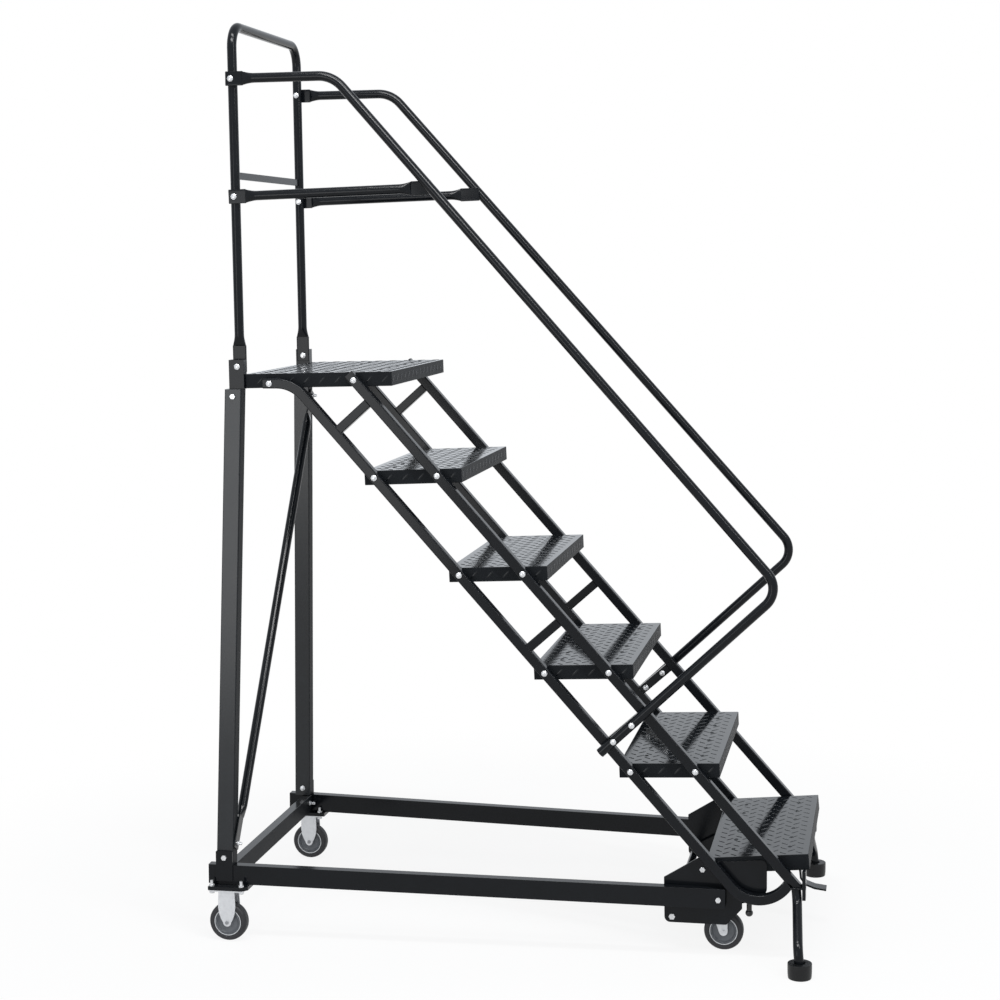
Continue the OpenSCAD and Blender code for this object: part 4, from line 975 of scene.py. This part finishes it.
def makeLegs():
    footZ = legs["railTop"] - (legs["topX"] - legs["rake"] - legs["railEndX"]) * legs["railDrop"]
    section = boxSection(legs["halfX"], legs["halfY"], legs["corner"])
    for name, low, side in sides:
        top = Vector((legs["topX"], side * legs["topY"], legs["topZ"]))
        axis = (legUp * math.cos(legSlant) - Vector((0, side, 0)) * math.sin(legSlant)).normalized()
        across = axis.cross(legFace).normalized()
        starts = [top + legFace * u + across * v for u, v in section]
        rings = [[(p + axis * ((level - p.z) / axis.z)) * mm for p in starts] for level in (footZ, legs["topZ"])]
        bm = bmesh.new()
        skin(bm, rings)
        # The legs' lighter coat is a painted sheen; their sides along the ladder take painted shade
        paintShadeOnSides(finishPiece("rearLeg" + name, bm, [legCoat, paintedShadeCoat], "frame", ["rear_leg_" + low]))


def makeBrace():
    off = legs["halfX"] + rails["flatT"] / 2 + legs["braceGap"]
    a = onLegs(off, legY(legs["braceTop"]), legs["braceTop"])
    b = onLegs(off, -legY(legs["braceFoot"]), legs["braceFoot"])
    bm = bmesh.new()
    boltedTube(bm, a, b, legFace.cross((b - a).normalized()), legs["topFlat"], legs["footFlat"], rails["beyondBolt"])
    finishTube("diagonalBrace", bm, "diagonal_brace")


makeLegs()
makeBrace()
print("legs and brace made")

# Everything else: the CAD's own shapes, with their edges eased by this many mm

easedEdges = {"lock_wings": 0.8, "corner_posts": 1.2, "leg_tabs": 0.8, "base_rail_left": 1.2, "base_rail_right": 1.2,
              "base_cross_rail": 1.2, "side_plate_left": 0.8, "side_plate_right": 0.8, "carriage_shaft": 0.5,
              "carriage_sleeve": 0.5, "carriage_arms": 0.8, "swivel_plates": 0.8, "ball_knob": 0, "pedal_bracket": 0.6,
              "release_pedal": 0.8, "caster_pads": 0.8, "rear_forks": 0.7, "rear_axles": 0.5, "front_fork_left": 0.7,
              "front_fork_right": 0.7, "foot_brackets": 0.8, "frame_bolts": 0.6, "caster_bolts": 0.6}
# What isn't in the black coat
otherFinish = {"carriage_shaft": (zincBolt, "zinc_steel"), "frame_bolts": (zincBolt, "zinc_steel"),
               "caster_bolts": (zincBolt, "zinc_steel"), "rear_axles": (zincNut, "zinc_steel"),
               "rear_forks": (zincFork, "zinc_fork"), "front_fork_left": (zincFork, "zinc_fork"),
               "front_fork_right": (zincFork, "zinc_fork"), "ball_knob": (knobPlastic, "knob")}
for node, width in easedEdges.items():
    mat, slot = otherFinish.get(node, (coat, "black_tube"))
    # The cross rail's sides along the ladder take the duller coat: painted shade
    refineNode(node, mat, width, shadedSides=node == "base_cross_rail")
print("plain pieces made")

# Floor, light and camera

# The floor glows white in what the camera and gloss see, a little less close to the ladder; distances in m
studio = {"floor": "#fafafa", "floorRough": 0.9, "near": 0.9, "nearGlow": 0.88, "far": 2.4, "farGlow": 1.0,
          "floorSize": 40, "sky": 1.0, "fill": 0.5, "daylight": "#f4f9ff"}


# 1 for rays that see the background: from the camera, and by gloss or glass
def seesBackground(tree):
    path = addNode(tree, "ShaderNodeLightPath")
    seen = path.outputs["Is Camera Ray"]
    for ray in ("Is Glossy Ray", "Is Transmission Ray"):
        seen = addNode(tree, "ShaderNodeMath", operation="MAXIMUM", links={0: seen, 1: path.outputs[ray]}).outputs[0]
    return path, seen


def makeFloor():
    bpy.ops.mesh.primitive_plane_add(size=studio["floorSize"], location=(0, 0, 0))
    floor = bpy.context.object
    floor.name = "floor"
    mat = bpy.data.materials.new("studioFloor")
    mat.use_nodes = True
    tree = mat.node_tree
    shader = tree.nodes["Principled BSDF"]
    shader.inputs["Base Color"].default_value = srgb(studio["floor"])
    shader.inputs["Roughness"].default_value = studio["floorRough"]
    shader.inputs["Specular IOR Level"].default_value = 0.0
    glow = addNode(tree, "ShaderNodeEmission", {"Color": (1, 1, 1, 1), "Strength": 1.0})
    seen = seesBackground(tree)[1]
    coords = addNode(tree, "ShaderNodeTexCoord")
    away = addNode(tree, "ShaderNodeVectorMath", links={0: coords.outputs["Object"]}, operation="LENGTH")
    white = addNode(tree, "ShaderNodeMapRange", {"From Min": studio["near"], "From Max": studio["far"],
                                                 "To Min": studio["nearGlow"], "To Max": studio["farGlow"]},
                    {"Value": away.outputs["Value"]}, interpolation_type="SMOOTHSTEP")
    part = addNode(tree, "ShaderNodeMath", links={0: seen, 1: white.outputs[0]}, operation="MULTIPLY")
    both = addNode(tree, "ShaderNodeMixShader",
                   links={0: part.outputs[0], 1: shader.outputs[0], 2: glow.outputs[0]})
    tree.links.new(both.outputs[0], tree.nodes["Material Output"].inputs[0])
    floor.data.materials.append(mat)


def makeWorld():
    world = bpy.data.worlds.new("studioWorld")
    world.use_nodes = True
    bpy.context.scene.world = world
    tree = world.node_tree
    background = tree.nodes["Background"]
    path, seen = seesBackground(tree)
    tint = addNode(tree, "ShaderNodeMix", {6: srgb(studio["daylight"]), 7: (1, 1, 1, 1)},
                   {0: path.outputs["Is Camera Ray"]}, data_type="RGBA")
    tree.links.new(tint.outputs[2], background.inputs["Color"])
    level = addNode(tree, "ShaderNodeMapRange", {"To Min": studio["fill"], "To Max": studio["sky"]}, {"Value": seen})
    tree.links.new(level.outputs[0], background.inputs["Strength"])


# A soft box at the spot, turned to its target; a gloss-only one draws a light line and adds no light to colours
def addLamp(name, spot, target, size, watts, long=(0, 0, 1), glossOnly=False):
    light = bpy.data.lights.new(name, "AREA")
    light.shape = "RECTANGLE"
    light.size, light.size_y = size
    light.energy = watts
    lamp = placed(name, light)
    back = (Vector(spot) - Vector(target)).normalized()
    across = Vector(long).cross(back).normalized()
    lamp.matrix_world = Matrix.Translation(spot) @ Matrix((across, back.cross(across), back)).transposed().to_4x4()
    lamp.visible_diffuse = not glossOnly


view = {"lens": 73.42668, "sensor": 36, "at": (1012.7, -5470.4, 1819.7), "yaw": -0.197117, "pitch": 0.118383,
        "roll": -0.011671, "sees": 100}


def makeCamera():
    yaw, pitch, roll = view["yaw"], view["pitch"], view["roll"]
    ahead = Vector((math.sin(yaw) * math.cos(pitch), math.cos(yaw) * math.cos(pitch), -math.sin(pitch)))
    right = Vector((math.cos(yaw), -math.sin(yaw), 0))
    up = right.cross(ahead)
    turnedRight = right * math.cos(roll) + up * math.sin(roll)
    turnedUp = up * math.cos(roll) - right * math.sin(roll)
    cam = bpy.data.cameras.new("camera")
    cam.sensor_width = view["sensor"]
    cam.lens = view["lens"]
    cam.clip_end = view["sees"]
    holder = placed("camera", cam)
    turn = Matrix((turnedRight, turnedUp, -ahead)).transposed().to_4x4()
    holder.matrix_world = Matrix.Translation(Vector(view["at"]) * mm) @ turn
    bpy.context.scene.camera = holder


makeFloor()
makeWorld()
addLamp("overhead", (0.1, -1.6, 5.0), (0, 0, 1.2), (0.5, 2.8), 90, (1, 0, 0))
addLamp("leftPanel", (-2.3, -5.5, 1.2), (-0.6, 0, 1.2), (1.7, 2.4), 38)
addLamp("slopeStrip", (3.0, -2.6, 4.0), (0.3, 0, 1.4), (0.36, 3.6), 80, (-0.66, 0, 0.75))
addLamp("upperStrip", (0.4, -3.6, 5.2), (0, 0, 1.3), (0.9, 3.6), 260, (1, 0, 0), glossOnly=True)
makeCamera()
bpy.context.scene.view_settings.view_transform = "Standard"
print("stage, lamps and camera set")
